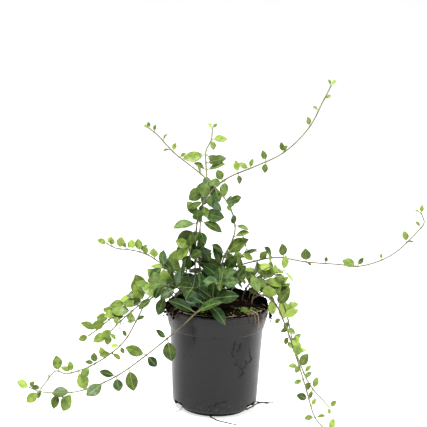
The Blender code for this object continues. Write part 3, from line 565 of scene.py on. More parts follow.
def smooth_way(points, spacing):
    """Evenly spaced points on the smooth curve through the given points, which sets out straight up.

    Each stretch is a cubic whose end directions are those of the chords past each point.
    """
    given = np.array(points, float)
    chord = np.linalg.norm(np.diff(given, axis=0), axis=1)
    heading = np.gradient(given, axis=0)
    heading[0] = (0, 0, 1)
    heading = units(heading)
    t = np.linspace(0, 1, CURVE_STEPS + 1)[:-1, None]
    stretches = [
        (2 * t**3 - 3 * t**2 + 1) * given[i]
        + (t**3 - 2 * t**2 + t) * heading[i] * chord[i]
        + (3 * t**2 - 2 * t**3) * given[i + 1]
        + (t**3 - t**2) * heading[i + 1] * chord[i]
        for i in range(len(given) - 1)
    ]
    curve = np.concatenate([*stretches, given[-1:]])
    travelled = np.concatenate([[0], np.cumsum(np.linalg.norm(np.diff(curve, axis=0), axis=1))])
    count = max(3, round(travelled[-1] / spacing) + 1)
    stations = np.linspace(0, travelled[-1], count)
    return np.stack([np.interp(stations, travelled, curve[:, axis]) for axis in range(3)], axis=1)


def at_share(way, share):
    """The point and the direction of a way at a share of its length."""
    place = min(share * (len(way) - 1), len(way) - 1 - TIP_BACK)
    index = min(int(place), len(way) - 2)
    step = way[index + 1] - way[index]
    return way[index] + step * (place - index), unit(step)


def plan_stems():
    """Every stem's way, thickness and wanted leaves, each leaf as (share, length, direction, light)."""
    plans = {}
    for number, (name, stem) in enumerate(STEMS.items()):
        draw = random.Random(number)
        facing = -1 if name in BACK_STEMS else 1
        way = smooth_way(stem["way"], STEM_STEP)
        leaves = []
        for share, length, clock in stem["leaves"]:
            angle = math.radians(clock)
            lean = math.radians(draw.uniform(*LEAF_LEAN))
            level = math.cos(lean)
            out = (math.cos(angle) * level, -facing * math.sin(lean), math.sin(angle) * level)
            leaves.append((share, length, np.array(out), np.array(LIGHT) * (1, facing, 1)))
        plans[name] = {"way": way, "thick": stem["thick"], "leaves": leaves}
    taken = [plan["way"] for plan in plans.values()]
    for number in range(SPRIG_COUNT):
        plan = plan_sprig(number, taken)
        taken.append(plan["way"])
        plans[f"sprig_{number + 1:02d}"] = plan
    return plans


def plan_sprig(number, taken):
    """One short stem, turned round the pot until it is clear of the ways already taken."""
    draw = random.Random(SPRIG_SEED + number)
    share = math.sqrt((number + 0.5) / SPRIG_COUNT)
    reach = SPRIG_REACH[0] + (SPRIG_REACH[1] - SPRIG_REACH[0]) * share
    length = draw.uniform(*SPRIG_LENGTH)
    lean = SPRIG_LEAN[0] + (SPRIG_LEAN[1] - SPRIG_LEAN[0]) * share + draw.uniform(-LEAN_SPREAD, LEAN_SPREAD)
    for turn in range(0, 360, SPRIG_TURN):
        angle = (number * SPRIG_ANGLE + turn) % 360
        side = (angle + 180) % 360 - 180
        if reach > BARE_FROM and BARE_SIDE[0] < side < BARE_SIDE[1]:
            continue
        outward = np.array([math.cos(math.radians(angle)), math.sin(math.radians(angle)), 0.0])
        foot = outward * reach
        foot[2] = max(SOIL_LEVEL, soil_top(foot[0], foot[1]) + 1)
        rise = math.cos(math.radians(lean))
        run = math.sin(math.radians(lean))
        bow = (0, 0, rise * length * SPRIG_MIDDLE + SPRIG_BOW)
        middle = foot + outward * run * length * SPRIG_MIDDLE + bow
        tip = foot + outward * run * length + (0, 0, rise * length - length * SPRIG_SINK)
        way = smooth_way([foot, middle, tip], STEM_STEP)
        if all(room_between(way, other) > STEM_ROOM for other in taken):
            break
    leaves = []
    for pair in range(SPRIG_PAIRS):
        at = SPRIG_BARE_SHARE + (1 - SPRIG_BARE_SHARE) * pair / (SPRIG_PAIRS - 1)
        blade = SPRIG_BLADE[0] + (SPRIG_BLADE[1] - SPRIG_BLADE[0]) * at
        blade += draw.uniform(-BLADE_SPREAD, BLADE_SPREAD)
        heading = at_share(way, at)[1]
        side = unit(np.cross(heading, outward + (0, 0, SIDE_RISE)))
        side = turned_about(side, heading, 90 * (pair % 2) + draw.uniform(-PAIR_SPREAD, PAIR_SPREAD))
        light = unit(outward * FACE_OUT + np.array(LIGHT) * FACE_LIGHT + (0, 0, FACE_UP))
        for way_round in (1, -1):
            opening = math.radians(SPRIG_OPENING + draw.uniform(-OPENING_SPREAD, OPENING_SPREAD))
            out = heading * math.cos(opening) + side * way_round * math.sin(opening)
            leaves.append((at, blade, unit(out), light))
    return {"way": way, "thick": SPRIG_THICK, "leaves": leaves}


def room_between(way, other):
    """The smallest distance between the points of two ways."""
    return np.linalg.norm(way[:, None] - other[None], axis=2).min()


def leaf_solid(root, out, face, stem_half, length, width, droop, room=0.0):
    """One leaf as a closed solid of a stalk with three sides and a folded blade, as points and faces.

    The stalk starts inside the stem and ends at the blade's foot. The blade is as wide as its rows say at
    each share of its length, sinks by droop x length x share squared, and rises from the midrib to each edge
    by FOLD times its half width. With room, the solid is that much larger all round.
    """
    side = np.cross(out, face)
    half = THICKNESS / 2 + room
    start = stem_half + PETIOLE[0] + PETIOLE[1] * length
    narrow = PETIOLE_HALF * stem_half + room
    rows = SHORT_ROWS if length < SMALL_LEAF else FULL_ROWS

    def place(share, across):
        lift = FOLD * abs(across) - droop * length * share**2
        return out * (start + share * length) + side * across + face * lift

    points = []
    for along in (ROOT_FROM_AXIS, start):
        points += [out * along + face * half - side * narrow, out * along + face * half + side * narrow]
        points.append(out * along - face * half)
    right = [place(share, wide * width / 2 + room) for share, wide in rows]
    left = [place(share, -wide * width / 2 - room) for share, wide in rows[::-1]]
    edge = [*right, place(1 + room / length, 0), *left]
    points += [point + face * half for point in edge] + [point - face * half for point in edge]
    top, low = STALK_POINTS, STALK_POINTS + len(edge)
    last = len(edge) - 1
    faces = [(0, 2, 1), (0, 1, 4, 3), (0, 3, 5, 2), (1, 2, 5, 4), (3, 4, top + len(rows))]
    faces += [(4, 5, low), (4, low, top), (top + last, low + last, 5), (top + last, 5, 3)]
    for k in range(last):
        faces.append((4 if k < len(rows) else 3, top + k, top + k + 1))
        faces.append((5, low + k + 1, low + k))
        faces += [(top + k, low + k, low + k + 1), (top + k, low + k + 1, top + k + 1)]
    return root + np.array(points), faces


def tube_shape(way, radii):
    """A square tube round a way, which stands for the stem when leaves are kept clear of it."""
    heading = units(np.gradient(way, axis=0))
    across = units(np.cross(heading, AWAY))
    third = np.cross(heading, across)
    ring = np.stack([across, third, -across, -third], axis=1) * radii[:, None, None]
    points = (way[:, None] + ring).reshape(-1, 3)
    faces = []
    for row in range(len(way) - 1):
        for k in range(4):
            a, b = row * 4 + k, row * 4 + (k + 1) % 4
            faces.append((a, b, b + 4, a + 4))
    return points, faces


class Shape:
    """A solid that other leaves keep clear of."""

    def __init__(self, points, faces, stem):
        self.low = points.min(axis=0)
        self.high = points.max(axis=0)
        self.tree = BVHTree.FromPolygons(points.tolist(), faces)
        self.stem = stem

    def meets(self, other):
        if (self.low > other.high).any() or (self.high < other.low).any():
            return False
        return bool(self.tree.overlap(other.tree))


def wall_radius(height):
    """Outer radius of the pot at a height."""
    outside = POT_OUTSIDE[:-1]
    return np.interp(height, [z for _, z in outside][::-1], [r for r, _ in outside][::-1])


def in_pot_soil_or_floor(points):
    """Whether a leaf comes too near to the pot, the soil or the surface that the pot stands on."""
    blade = points[STALK_POINTS:]
    spots = np.concatenate([blade, (blade + np.roll(blade, 1, axis=0)) / 2, blade.mean(axis=0)[None]])
    x, y, z = spots.T
    reach = np.hypot(x, y)
    top = np.maximum(soil_top(x, y), RIM_HEIGHT * (reach > RIM_BAND[0]))
    over_soil = (reach < RIM_BAND[1]) & (z < top + RIM_ROOM)
    beside_wall = (z < RIM_HEIGHT + RIM_ROOM) & (reach < wall_radius(z) + RIM_ROOM)
    return bool((over_soil | beside_wall | (z < LOWEST)).any())


def over_bare_soil(points):
    """Whether a leaf hangs over the patch at the front right where the soil shows."""
    x, y, z = points.T
    over = (x > BARE_PATCH[0]) & (y < BARE_PATCH[1] - np.maximum(0, x - BARE_PATCH[2])) & (z < BARE_PATCH[3])
    return bool((over & (np.hypot(x, y) < RIM_BAND[0])).any())


def place_leaves(plans):
    """Each stem's leaves, bent clear of all that stands already: first the long stems', then the sprigs'."""
    shapes = []
    for name, plan in plans.items():
        radii = np.linspace(*plan["thick"], len(plan["way"])) / 2 + STEM_SKIN
        shapes.append(Shape(*tube_shape(plan["way"], radii), name))
    placed = {}
    for number, (name, plan) in enumerate(plans.items()):
        draw = random.Random(LEAF_SEED + number)
        placed[name] = []
        for share, length, out, light in plan["leaves"]:
            root = at_share(plan["way"], share)[0]
            widest = draw.uniform(*BLADE_WIDTH)
            droop = draw.uniform(*BLADE_DROOP)
            roll = draw.uniform(*BLADE_ROLL)
            half = (plan["thick"][0] + (plan["thick"][1] - plan["thick"][0]) * share) / 2
            leaf = clear_leaf(name, shapes, root, out, light, half, length, widest, droop, roll)
            if leaf:
                placed[name].append((share, leaf))
    return placed


def clear_leaf(name, shapes, root, out, light, stem_half, length, widest, droop, roll):
    """What leaf_solid needs for the first leaf, over all its lengths and turns, that is clear of every other
    shape, or None.
    """
    for shorter in SHORTER:
        size = length * shorter
        for swing, lean, twist in TURNS:
            level = turned_about(out, np.array([0.0, -1.0, 0.0]), swing)
            across = np.cross(level, light)
            if np.linalg.norm(across) < EDGE_ON:
                across = np.cross(level, (1.0, 0.0, 0.0))
            level = turned_about(level, unit(across), lean)
            face = turned_about(unit(light - level * (light @ level)), level, roll + twist)
            leaf = (root, level, face, stem_half, size, size * widest, droop)
            points = leaf_solid(*leaf)[0]
            if in_pot_soil_or_floor(points) or (name not in STEMS and over_bare_soil(points)):
                continue
            room = Shape(*leaf_solid(*leaf, LEAF_ROOM), name)
            if any(room.meets(shape) for shape in shapes if shape.stem != name):
                continue
            near_points, near_faces = leaf_solid(*leaf, OWN_ROOM)
            blade = Shape(near_points, near_faces[STALK_FACES:], name)
            if any(blade.meets(shape) for shape in shapes if shape.stem == name):
                continue
            shapes.append(Shape(*leaf_solid(*leaf), name))
            return leaf
    return None


def pieces_collection():
    """The collection that holds every new piece."""
    name = "potted_periwinkle_looks"
    made = bpy.data.collections.get(name)
    if made is None:
        made = bpy.data.collections.new(name)
        bpy.context.scene.collection.children.link(made)
    return made


def round_steps(count):
    """Angles of even steps, once round."""
    return np.arange(count) * 2 * np.pi / count


def round_axis(reach, angle, height):
    """Points at a distance from the axis, an angle round it and a height."""
    return np.stack(np.broadcast_arrays(reach * np.cos(angle), reach * np.sin(angle), height), axis=-1)


def from_axis(points):
    """How far each point is from the axis."""
    return np.hypot(points[..., 0], points[..., 1])


def moved_to(points, reach):
    """The points, moved straight in or out until they are this far from the axis."""
    points[..., :2] *= (reach / from_axis(points))[..., None]
    return points


def closed_faces(rings, sides):
    """Quads and triangles of a closed surface: its points are a pole, rings one after another, and a pole."""
    here = np.arange(sides)
    after = (here + 1) % sides
    ring = 1 + np.arange(rings - 1)[:, None] * sides
    quads = np.stack([ring + here, ring + after, ring + after + sides, ring + here + sides], axis=-1)
    last = 1 + (rings - 1) * sides
    first_fan = np.stack([np.zeros(sides, int), 1 + after, 1 + here], axis=1)
    last_fan = np.stack([last + here, last + after, np.full(sides, last + sides)], axis=1)
    return quads.reshape(-1, 4), np.concatenate([first_fan, last_fan])


def copies(points, rings, sides, material=0, uv=None, **values):
    """One shape of many closed surfaces alike in their faces: points are copies by points by 3."""
    count, size = points.shape[:2]
    quads, fans = closed_faces(rings, sides)
    shift = np.arange(count)[:, None, None] * size
    return {
        "points": points.reshape(-1, 3),
        "quads": (quads + shift).reshape(-1, 4),
        "fans": (fans + shift).reshape(-1, 3),
        "material": material,
        "uv": np.zeros((count * size, 2)) if uv is None else uv.reshape(-1, 2),
        "values": {key: np.broadcast_to(value, (count, size)).reshape(-1) for key, value in values.items()},
    }


def add_piece(name, shapes, materials, replaced=()):
    """A mesh object of the shapes, in metres, that rides on the plant's one body."""
    starts = np.cumsum([0] + [len(shape["points"]) for shape in shapes])
    points = np.concatenate([shape["points"] for shape in shapes]) * MM
    quads = np.concatenate([shape["quads"] + start for shape, start in zip(shapes, starts)])
    fans = np.concatenate([shape["fans"] + start for shape, start in zip(shapes, starts)])
    mesh = bpy.data.meshes.new(name)
    mesh.from_pydata(points, [], quads.tolist() + fans.tolist())
    numbers = [np.full(len(shape[kind]), shape["material"]) for kind in ("quads", "fans") for shape in shapes]
    mesh.polygons.foreach_set("material_index", np.concatenate(numbers).astype(np.int32))
    at = np.empty(len(mesh.loops), np.int32)
    mesh.loops.foreach_get("vertex_index", at)
    uv = np.concatenate([shape["uv"] for shape in shapes])
    mesh.uv_layers.new(name="surface").data.foreach_set("uv", uv[at].astype(np.float32).ravel())
    for key in sorted({key for shape in shapes for key in shape["values"]}):
        values = [shape["values"].get(key, np.zeros(len(shape["points"]))) for shape in shapes]
        layer = mesh.attributes.new(key, "FLOAT", "POINT")
        layer.data.foreach_set("value", np.concatenate(values).astype(np.float32))
    mesh.shade_smooth()
    for material in materials:
        mesh.materials.append(material)
    made = bpy.data.objects.new(name, mesh)
    pieces_collection().objects.link(made)
    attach(made, "root")
    if replaced:
        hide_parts(*replaced)
    return made


def tubes(ways, radii, sides, **values):
    """Closed round tubes along ways, given as tubes by stations by 3: a point is the way's own point plus
    radius x (across x cos(angle) + third x sin(angle)), where across and third stand square to the way.
    """
    heading = units(np.gradient(ways, axis=1))
    across = units(np.cross(heading, AWAY))
    third = np.cross(heading, across)
    angle = round_steps(sides)
    round_it = np.cos(angle)[:, None] * across[:, :, None] + np.sin(angle)[:, None] * third[:, :, None]
    rings = ways[:, :, None] + radii[:, :, None, None] * round_it
    points = np.concatenate([ways[:, :1], rings.reshape(len(ways), -1, 3), ways[:, -1:]], axis=1)
    return copies(points, ways.shape[1], sides, **values)


def turned_shape(profile, sides):
    """A closed surface of revolution of a (radius, height) profile that starts and ends on the axis.

    The angle runs clockwise, so that its faces look outwards.
    """
    profile = np.array(profile, float)
    ring = profile[1:-1]
    wall = round_axis(ring[:, :1], -round_steps(sides), ring[:, 1:]).reshape(-1, 3)
    points = np.concatenate([[(0, 0, profile[0, 1])], wall, [(0, 0, profile[-1, 1])]])
    return copies(points[None], len(ring), sides)


def softened(profile):
    """The profile with each corner P rounded by the curve (1-t)^2 A + 2t(1-t) P + t^2 B, where A and B lie on
    the two edges at CORNER_RADIUS from P, or at CORNER_SHARE of a shorter edge.
    """
    given = np.array(profile, float)
    corner = given[1:-1, None]

    def drawn_back(edge):
        share = np.minimum(CORNER_RADIUS / np.linalg.norm(edge, axis=1), CORNER_SHARE)
        return corner + (edge * share[:, None])[:, None]

    t = np.linspace(0, 1, CORNER_STEPS)[:, None]
    a = drawn_back(given[:-2] - given[1:-1])
    b = drawn_back(given[2:] - given[1:-1])
    curves = (1 - t) ** 2 * a + 2 * t * (1 - t) * corner + t**2 * b
    return np.concatenate([given[:1], curves.reshape(-1, 2), given[-1:]])


def leaf_shape(leaves, roots, ages, draw):
    """Every leaf of a stem, each a closed thin surface of rings from its stalk's foot to its blade's tip.

    With s the share of the blade's length and phi the angle round a ring, a point is
    root + out x reach(s) + side x (w cos(phi) + bend) + face x (rise + arch - sink - t sin(phi) - rib).
    w is the stalk's radius plus half the width x sin(pi s^peak)^(OUTLINE_POWER + OUTLINE_POINTED s^2), t is
    half the thickness, the rise is a rounded valley, less a curl and with a ripple towards the edges, and the
    sink is droop x length x s^2. Along the stalk, s is 0 and the ring is a circle. The rib stands where
    sin(phi) is largest, on the underside.
    """
    def each(low, high):
        """One random value for every leaf."""
        return draw.uniform(low, high, count)[:, None, None]

    def part_way(start, end):
        """How far every leaf's length has come from a start to an end."""
        return ((length - start) / (end - start)).clip(0, 1)

    count = len(leaves)
    parts = (np.array(part)[:, None, None] for part in zip(*leaves))
    root, out, face, stem_half, length, width, droop = parts
    small = part_way(*SMALL_LENGTHS)
    width = width * (BLADE_WIDER - SMALL_NARROWER * small - LARGE_NARROWER * part_way(*LARGE_LENGTHS))
    side = np.cross(out, face)
    blade = (1 - np.cos(np.pi * np.arange(1, BLADE_STATIONS + 1) / BLADE_STATIONS)) / 2
    share = np.concatenate([[0.0] * (len(STALK_ROWS) + 1), blade])[None, :, None]
    along = np.concatenate([[0.0], STALK_ROWS, np.ones(BLADE_STATIONS)])[None, :, None]
    start = stem_half + PETIOLE[0] + PETIOLE[1] * length
    phi = round_steps(LEAF_SIDES)
    power = OUTLINE_POWER + OUTLINE_POINTED * share**2
    outline = np.sin(np.pi * share ** each(*OUTLINE_PEAK)).clip(0, 1) ** power
    stalk_radius = STALK_RADIUS * (0.5 + 0.5 * length / FULL_LENGTH) * (1 - share) ** 1.5
    fade = (1 - share / STALK_FADE).clip(0, 1)
    half_thick = stalk_radius * fade + BLADE_HALF * (1 - fade) * (1 - share**8)
    across = (stalk_radius + width / 2 * outline) * np.cos(phi)
    margin = np.abs(np.cos(phi)) * np.ones_like(across)
    valley = VALLEY * width * outline + VALLEY_LEAST
    fold = FOLD * each(*FOLDS) + SMALL_FOLD * small
    curl = each(*CURL)
    rise = fold * (np.sqrt(across**2 + valley**2) - valley) - curl * across**2 / width * share
    ripple = each(*RIPPLE) * length * margin**2
    rise = rise + ripple * np.sin(2 * np.pi * (RIPPLE_WAVES * share + each(0, 1)))
    rib = RIB_HEIGHT * np.exp(-((across / (RIB_WIDTH * width)) ** 2)) * (1 - share)
    rib = rib * (np.sin(phi) > 0.5) * (share > 0)
    arch = each(*ARCH) * length * np.sin(np.pi * share)
    bend = each(*BEND) * length * share**2
    lift = rise - droop * length * share**2 + arch - half_thick * np.sin(phi) - rib
    middle = root + (np.array(roots)[:, None, None] - root) * (1 - along[..., None])
    places = (
        middle
        + out * (start * along + length * share)[..., None]
        + side * (across + bend)[..., None]
        + face * lift[..., None]
    )
    inner = places[:, 1:-1].reshape(count, -1, 3)
    points = np.concatenate([middle[:, :1, 0], inner, places[:, -1:].mean(axis=2)], axis=1)

    def at_points(values):
        full = np.broadcast_to(values, places.shape[:3])
        return np.concatenate([full[:, :1, 0], full[:, 1:-1].reshape(count, -1), full[:, -1:, 0]], axis=1)

    uv = np.stack([at_points(0.5 + across / width), at_points(share)], axis=-1)
    return copies(
        points, len(share[0]) - 2, LEAF_SIDES, 1, uv,
        age=np.array(ages)[:, None],
        tone=draw.uniform(0, 1, (count, 1)),
        margin=at_points(margin),
        under=at_points(np.sin(phi).clip(0, 1)),
        blade=at_points((share > 0) * np.ones_like(across)),
    )


def stem_ages(name, plan):
    """Age of a stem's leaves at its foot and its tip. Short stems are dark in the middle and to the left."""
    if name in AGES:
        return AGES[name]
    x = plan["way"][-1][0]
    bright = np.clip((x - BRIGHT_FROM) / BRIGHT_OVER, 0, 1)
    dark, light = np.array(SPRIG_AGE_DARK), np.array(SPRIG_AGE_BRIGHT)
    return dark + (light - dark) * bright


def leafy_stem(number, name, plan, leaves, materials):
    """One leafy stem: a round tapering stem, thicker at its joints, with its leaves."""
    draw = np.random.default_rng(number)
    fine = smooth_way(plan["way"], FINE_STEP)
    foot = fine[0] * (1, 1, 0) + (0, 0, BURIED)
    way = np.concatenate([[foot], fine])
    share = np.linspace(0, 1, len(fine))
    length = (len(fine) - 1) * FINE_STEP
    joints = np.array([at for at, _ in leaves])
    radius = FOOT_SHARE * plan["thick"][0] / 2 * (1 - share) + TIP_RADIUS * share
    near = np.exp(-(((share[:, None] - joints[None]) * length / NODE_SPREAD) ** 2)).max(axis=1)
    radius = radius * (1 + NODE_SWELLING * near) * (1 if name in STEMS else SPRIG_THIN)
    radii = np.concatenate([radius[:1], radius])
    along = np.concatenate([[0], np.repeat(np.concatenate([[0], share]), STEM_SIDES), [1]])
    along = along * (1 if name in STEMS else SPRIG_GREEN)
    grey = max(GREY_STEMS.get(name, 0.0), draw.uniform(0, GREY_AT_MOST))
    stem = tubes(way[None], radii[None], STEM_SIDES, along=along, tone=grey)
    ages = leaf_ages(name, plan, leaves, draw)
    roots = [at_share(fine, at)[0] for at, _ in leaves]
    blades = leaf_shape([leaf for _, leaf in leaves], roots, ages, draw)
    add_piece(f"leafy_{name}", [stem, blades], materials, [name])


def leaf_ages(name, plan, leaves, draw):
    """The age of each leaf: its stem's own there, younger where it is small and older near
    AGED_AND_SHADED_PLACES, the first of which paints the shade deep in the foliage.
    """
    first, last = stem_ages(name, plan)
    ages = []
    for at, (root, out, _, _, length, *_) in leaves:
        small = SMALL_YOUTH * max(0.0, YOUNG_BELOW - length)
        tip = root + out * length
        # Painted shade: leaves near the first place, in the middle of the foliage, are darkened as if old
        inside = [np.interp(np.linalg.norm(tip - place), fade, (most, 0)) for place, fade, most in AGED_AND_SHADED_PLACES]
        own = first + (last - first) * at - small + draw.uniform(*AGE_STRAY)
        ages.append(np.clip(own + (1 - own) * max(inside), 0, 1))
    return ages


def wandering(starts, headings, lengths, draw, stations, sway, weight=0.0):
    """Ways of many rootlets: each step turns a little at random and sinks by its weight."""
    turns = draw.normal(0, sway, (len(starts), stations - 1, 3)).cumsum(axis=1)
    fall = np.linspace(0, weight, stations - 1)[:, None] * (0, 0, -1)
    steps = units(headings[:, None] + turns + fall) * (lengths / (stations - 1))[:, None, None]
    return np.concatenate([starts[:, None], starts[:, None] + steps.cumsum(axis=1)], axis=1)


def roughness_waves(draw, count, shortest, longest):
    """Random waves over a plane, as (x frequency, y frequency, phase, height), each as high as it is long."""
    wave = np.exp(draw.uniform(np.log(shortest), np.log(longest), count))
    angle = draw.uniform(0, 2 * np.pi, count)
    return np.stack([np.cos(angle) * 2 * np.pi / wave, np.sin(angle) * 2 * np.pi / wave,
                     draw.uniform(0, 2 * np.pi, count), wave / longest])


def rough(x, y, waves):
    """Sum over the waves of height x (1 - |sin(fx x + fy y + phase)|) ^ 2, about its mean: rounded crumbs."""
    fx, fy, phase, height = waves[:, :, None]
    value = height * (1 - np.abs(np.sin(fx * x.ravel() + fy * y.ravel() + phase))) ** 2
    return (value.sum(axis=0) / np.sqrt(len(height)) - height.mean() * 0.3).reshape(x.shape)


def lumps(places, sizes, draw):
    """Small closed lumps: balls whose radius is size x (1 + noise), squashed and turned at random."""
    count = len(places)
    polar = np.pi * np.arange(LUMP_RINGS + 2) / (LUMP_RINGS + 1)
    ball = round_axis(np.sin(polar)[:, None], -round_steps(LUMP_SIDES), np.cos(polar)[:, None])
    ball = np.concatenate([ball[:1, 0], ball[1:-1].reshape(-1, 3), ball[-1:, 0]])
    shape = ball * (1 + draw.normal(0, LUMP_NOISE, (count, len(ball), 1)))
    shape = shape * draw.uniform(*LUMP_STRETCH, (count, 1, 3))
    turn = draw.uniform(0, 2 * np.pi, count)
    cos, sin = np.cos(turn)[:, None], np.sin(turn)[:, None]
    x, y, z = shape[..., 0], shape[..., 1], shape[..., 2]
    shape = np.stack([x * cos - z * sin, y, x * sin + z * cos], axis=-1)
    points = places[:, None] + shape * sizes[:, None, None]
    return copies(points, LUMP_RINGS, LUMP_SIDES, tone=draw.uniform(0, 1, (count, 1)))


def mesh_of(shape, name):
    """A plain mesh, in metres, of one shape."""
    mesh = bpy.data.meshes.new(name)
    mesh.from_pydata(shape["points"] * MM, [], shape["quads"].tolist() + shape["fans"].tolist())
    return mesh


def slot_blocks():
    """The drainage slots as one shape of blocks. A block's corner is its centre plus half its size times
    (+-1, +-1, +-1), and the block is turned to stand out from the axis.
    """
    turn = np.radians(SLOT_FIRST) + round_steps(SLOT_COUNT)[:, None]
    depth, width, height = (size / 2 for size in SLOT_SIZE)
    out = SLOT_RADIUS + depth * np.array([-1, 1, 1, -1, -1, 1, 1, -1])
    across = width * np.array([-1, -1, 1, 1, -1, -1, 1, 1])
    up = SLOT_HEIGHT + height * np.array([-1, -1, -1, -1, 1, 1, 1, 1])
    x = out * np.cos(turn) - across * np.sin(turn)
    y = out * np.sin(turn) + across * np.cos(turn)
    points = np.stack([x, y, np.broadcast_to(up, x.shape)], axis=-1).reshape(-1, 3)
    block = np.array([(0, 3, 2, 1), (4, 5, 6, 7), (0, 1, 5, 4), (1, 2, 6, 5), (2, 3, 7, 6), (3, 0, 4, 7)])
    quads = (block + np.arange(SLOT_COUNT)[:, None, None] * 8).reshape(-1, 4)
    return {"points": points, "quads": quads, "fans": np.zeros((0, 3), int)}


def soil_surface(sizes):
    """The soil: its top is soil_top plus rough at each (x, y), and its wall and floor turn its profile."""
    draw = np.random.default_rng(21)
    waves = roughness_waves(draw, ROUGH_WAVES, *ROUGH_LENGTHS)
    radii = np.linspace(0, SOIL_EDGE_RADIUS, sizes.soil_rings + 1)[1:]
    wall = np.array(SOIL_WALL[:-1], float)
    reach = np.concatenate([radii, wall[:, 0]])[:, None]
    height = np.concatenate([np.zeros(len(radii)), wall[:, 1]])[:, None]
    points = round_axis(reach, -round_steps(sizes.soil_sides), height)
    top = points[:len(radii)]
    fade = 1 - (from_axis(top) / ROUGH_REACH) ** 6
    top[..., 2] = soil_under(top) + sizes.soil_roughness * rough(top[..., 0], top[..., 1], waves) * fade
    ends = [(0, 0, SOIL_MIDDLE)], [(0, 0, SOIL_WALL[-1][1])]
    points = np.concatenate([ends[0], points.reshape(-1, 3), ends[1]])
    return copies(points[None], len(reach), sizes.soil_sides)


def on_soil(draw, count, ring, arc=(0, 360)):
    """Random places on the soil's top, in a ring and an arc of it."""
    reach = np.sqrt(draw.uniform(ring[0]**2, ring[1]**2, count))
    places = round_axis(reach, np.radians(draw.uniform(*arc, count)), 0.0)
    places[:, 2] = soil_under(places)
    return places


def crumbs(sizes):
    """Crumbs of soil: all over the top and thickest at the rim, heaped over the rim on the left, banked above
    it on the right, and the clump that hangs there.
    """
    draw = np.random.default_rng(22)
    inner = on_soil(draw, sizes.crumbs, (0, TOP_REACH))
    edge = on_soil(draw, sizes.crumbs // 3, EDGE_RING)
    heap = on_soil(draw, sizes.crumbs // 2, HEAP_RING, HEAP_ARC)
    reach = from_axis(heap)
    piled = draw.uniform(0, HEAP_HEIGHT, len(heap)) * (HEAP_RING[1] - reach) / HEAP_SLOPE
    slid = draw.uniform(0, HEAP_HEIGHT, len(heap)) * np.maximum(reach - HEAP_EDGE, 0)
    heap[:, 2] = RIM_HEIGHT + piled - slid
    angle, out, height, spread, count = CLUMP
    clump = draw.normal(0, spread, (count, 3)) * CLUMP_SHAPE
    clump[:, 0] = np.maximum(clump[:, 0], -CLUMP_INWARD)
    clump += round_axis(out, np.radians(angle), height)
    bank = on_soil(draw, sizes.crumbs // 2, BANK_RING, BANK_ARC)
    bank[:, 2] = np.maximum(bank[:, 2], RIM_HEIGHT) + draw.uniform(0, 1, len(bank)) ** 1.5 * BANK_HEIGHT
    places = np.concatenate([inner, edge, bank, clump, heap]) + (0, 0, CRUMB_LIFT)
    sizes_of = np.exp(draw.uniform(*np.log(CRUMB_SIZE), len(places)))
    sizes_of[-len(heap) - count:] *= OVER_RIM_SMALLER
    return lumps(places, sizes_of, draw)


def evenly(way):
    """Stations evenly spaced along a way of straight steps, each drawn a little towards its neighbours."""
    way = np.array(way, float)
    gone = np.concatenate([[0], np.linalg.norm(np.diff(way, axis=0), axis=1).cumsum()])
    at = np.linspace(0, gone[-1], LINE_STATIONS)
    made = np.stack([np.interp(at, gone, column) for column in way.T], axis=1)
    made[1:-1] = (made[:-2] + 2 * made[1:-1] + made[2:]) / 4
    return made


def against_wall(points):
    """Points pressed flat against the pot's wall."""
    wall = wall_radius(points[..., 2])
    return moved_to(points, wall + FLATNESS * (from_axis(points) - wall))


def mud_trickles():
    """Dried trickles on the pot's wall: thin round ways that swell into blots and thin out between them, with
    small blots beside them, all pressed flat.
    """
    draw = np.random.default_rng(26)
    ways = np.array([evenly(way) for way in TRICKLES])
    angle, height = np.radians(ways[..., 0]), ways[..., 1]
    angle = angle + draw.normal(0, TRICKLE_WAVER, angle.shape)
    ways = round_axis(wall_radius(height) + TRICKLE_LIFT, angle, height)
    single = (len(ways), 1)
    phase = np.linspace(0, 1, LINE_STATIONS) * np.pi * draw.uniform(*TRICKLE_SWELLINGS, single)
    phase = phase + draw.uniform(0, 6, single)
    radii = draw.uniform(*TRICKLE_RADIUS, single) * (TRICKLE_THINNEST + np.sin(phase) ** 2)
    lines = tubes(ways, radii, ROOT_SIDES)
    spots = np.repeat(ways[:, ::BLOT_EVERY].reshape(-1, 3), BLOTS_THERE, axis=0)
    spots = spots + draw.normal(0, BLOT_STRAY, spots.shape)
    spots = moved_to(spots, wall_radius(spots[:, 2]) + TRICKLE_LIFT)
    blots = lumps(spots, draw.uniform(*BLOT_SIZE, len(spots)), draw)
    for shape in (lines, blots):
        shape["points"] = against_wall(shape["points"])
    return [lines, blots]


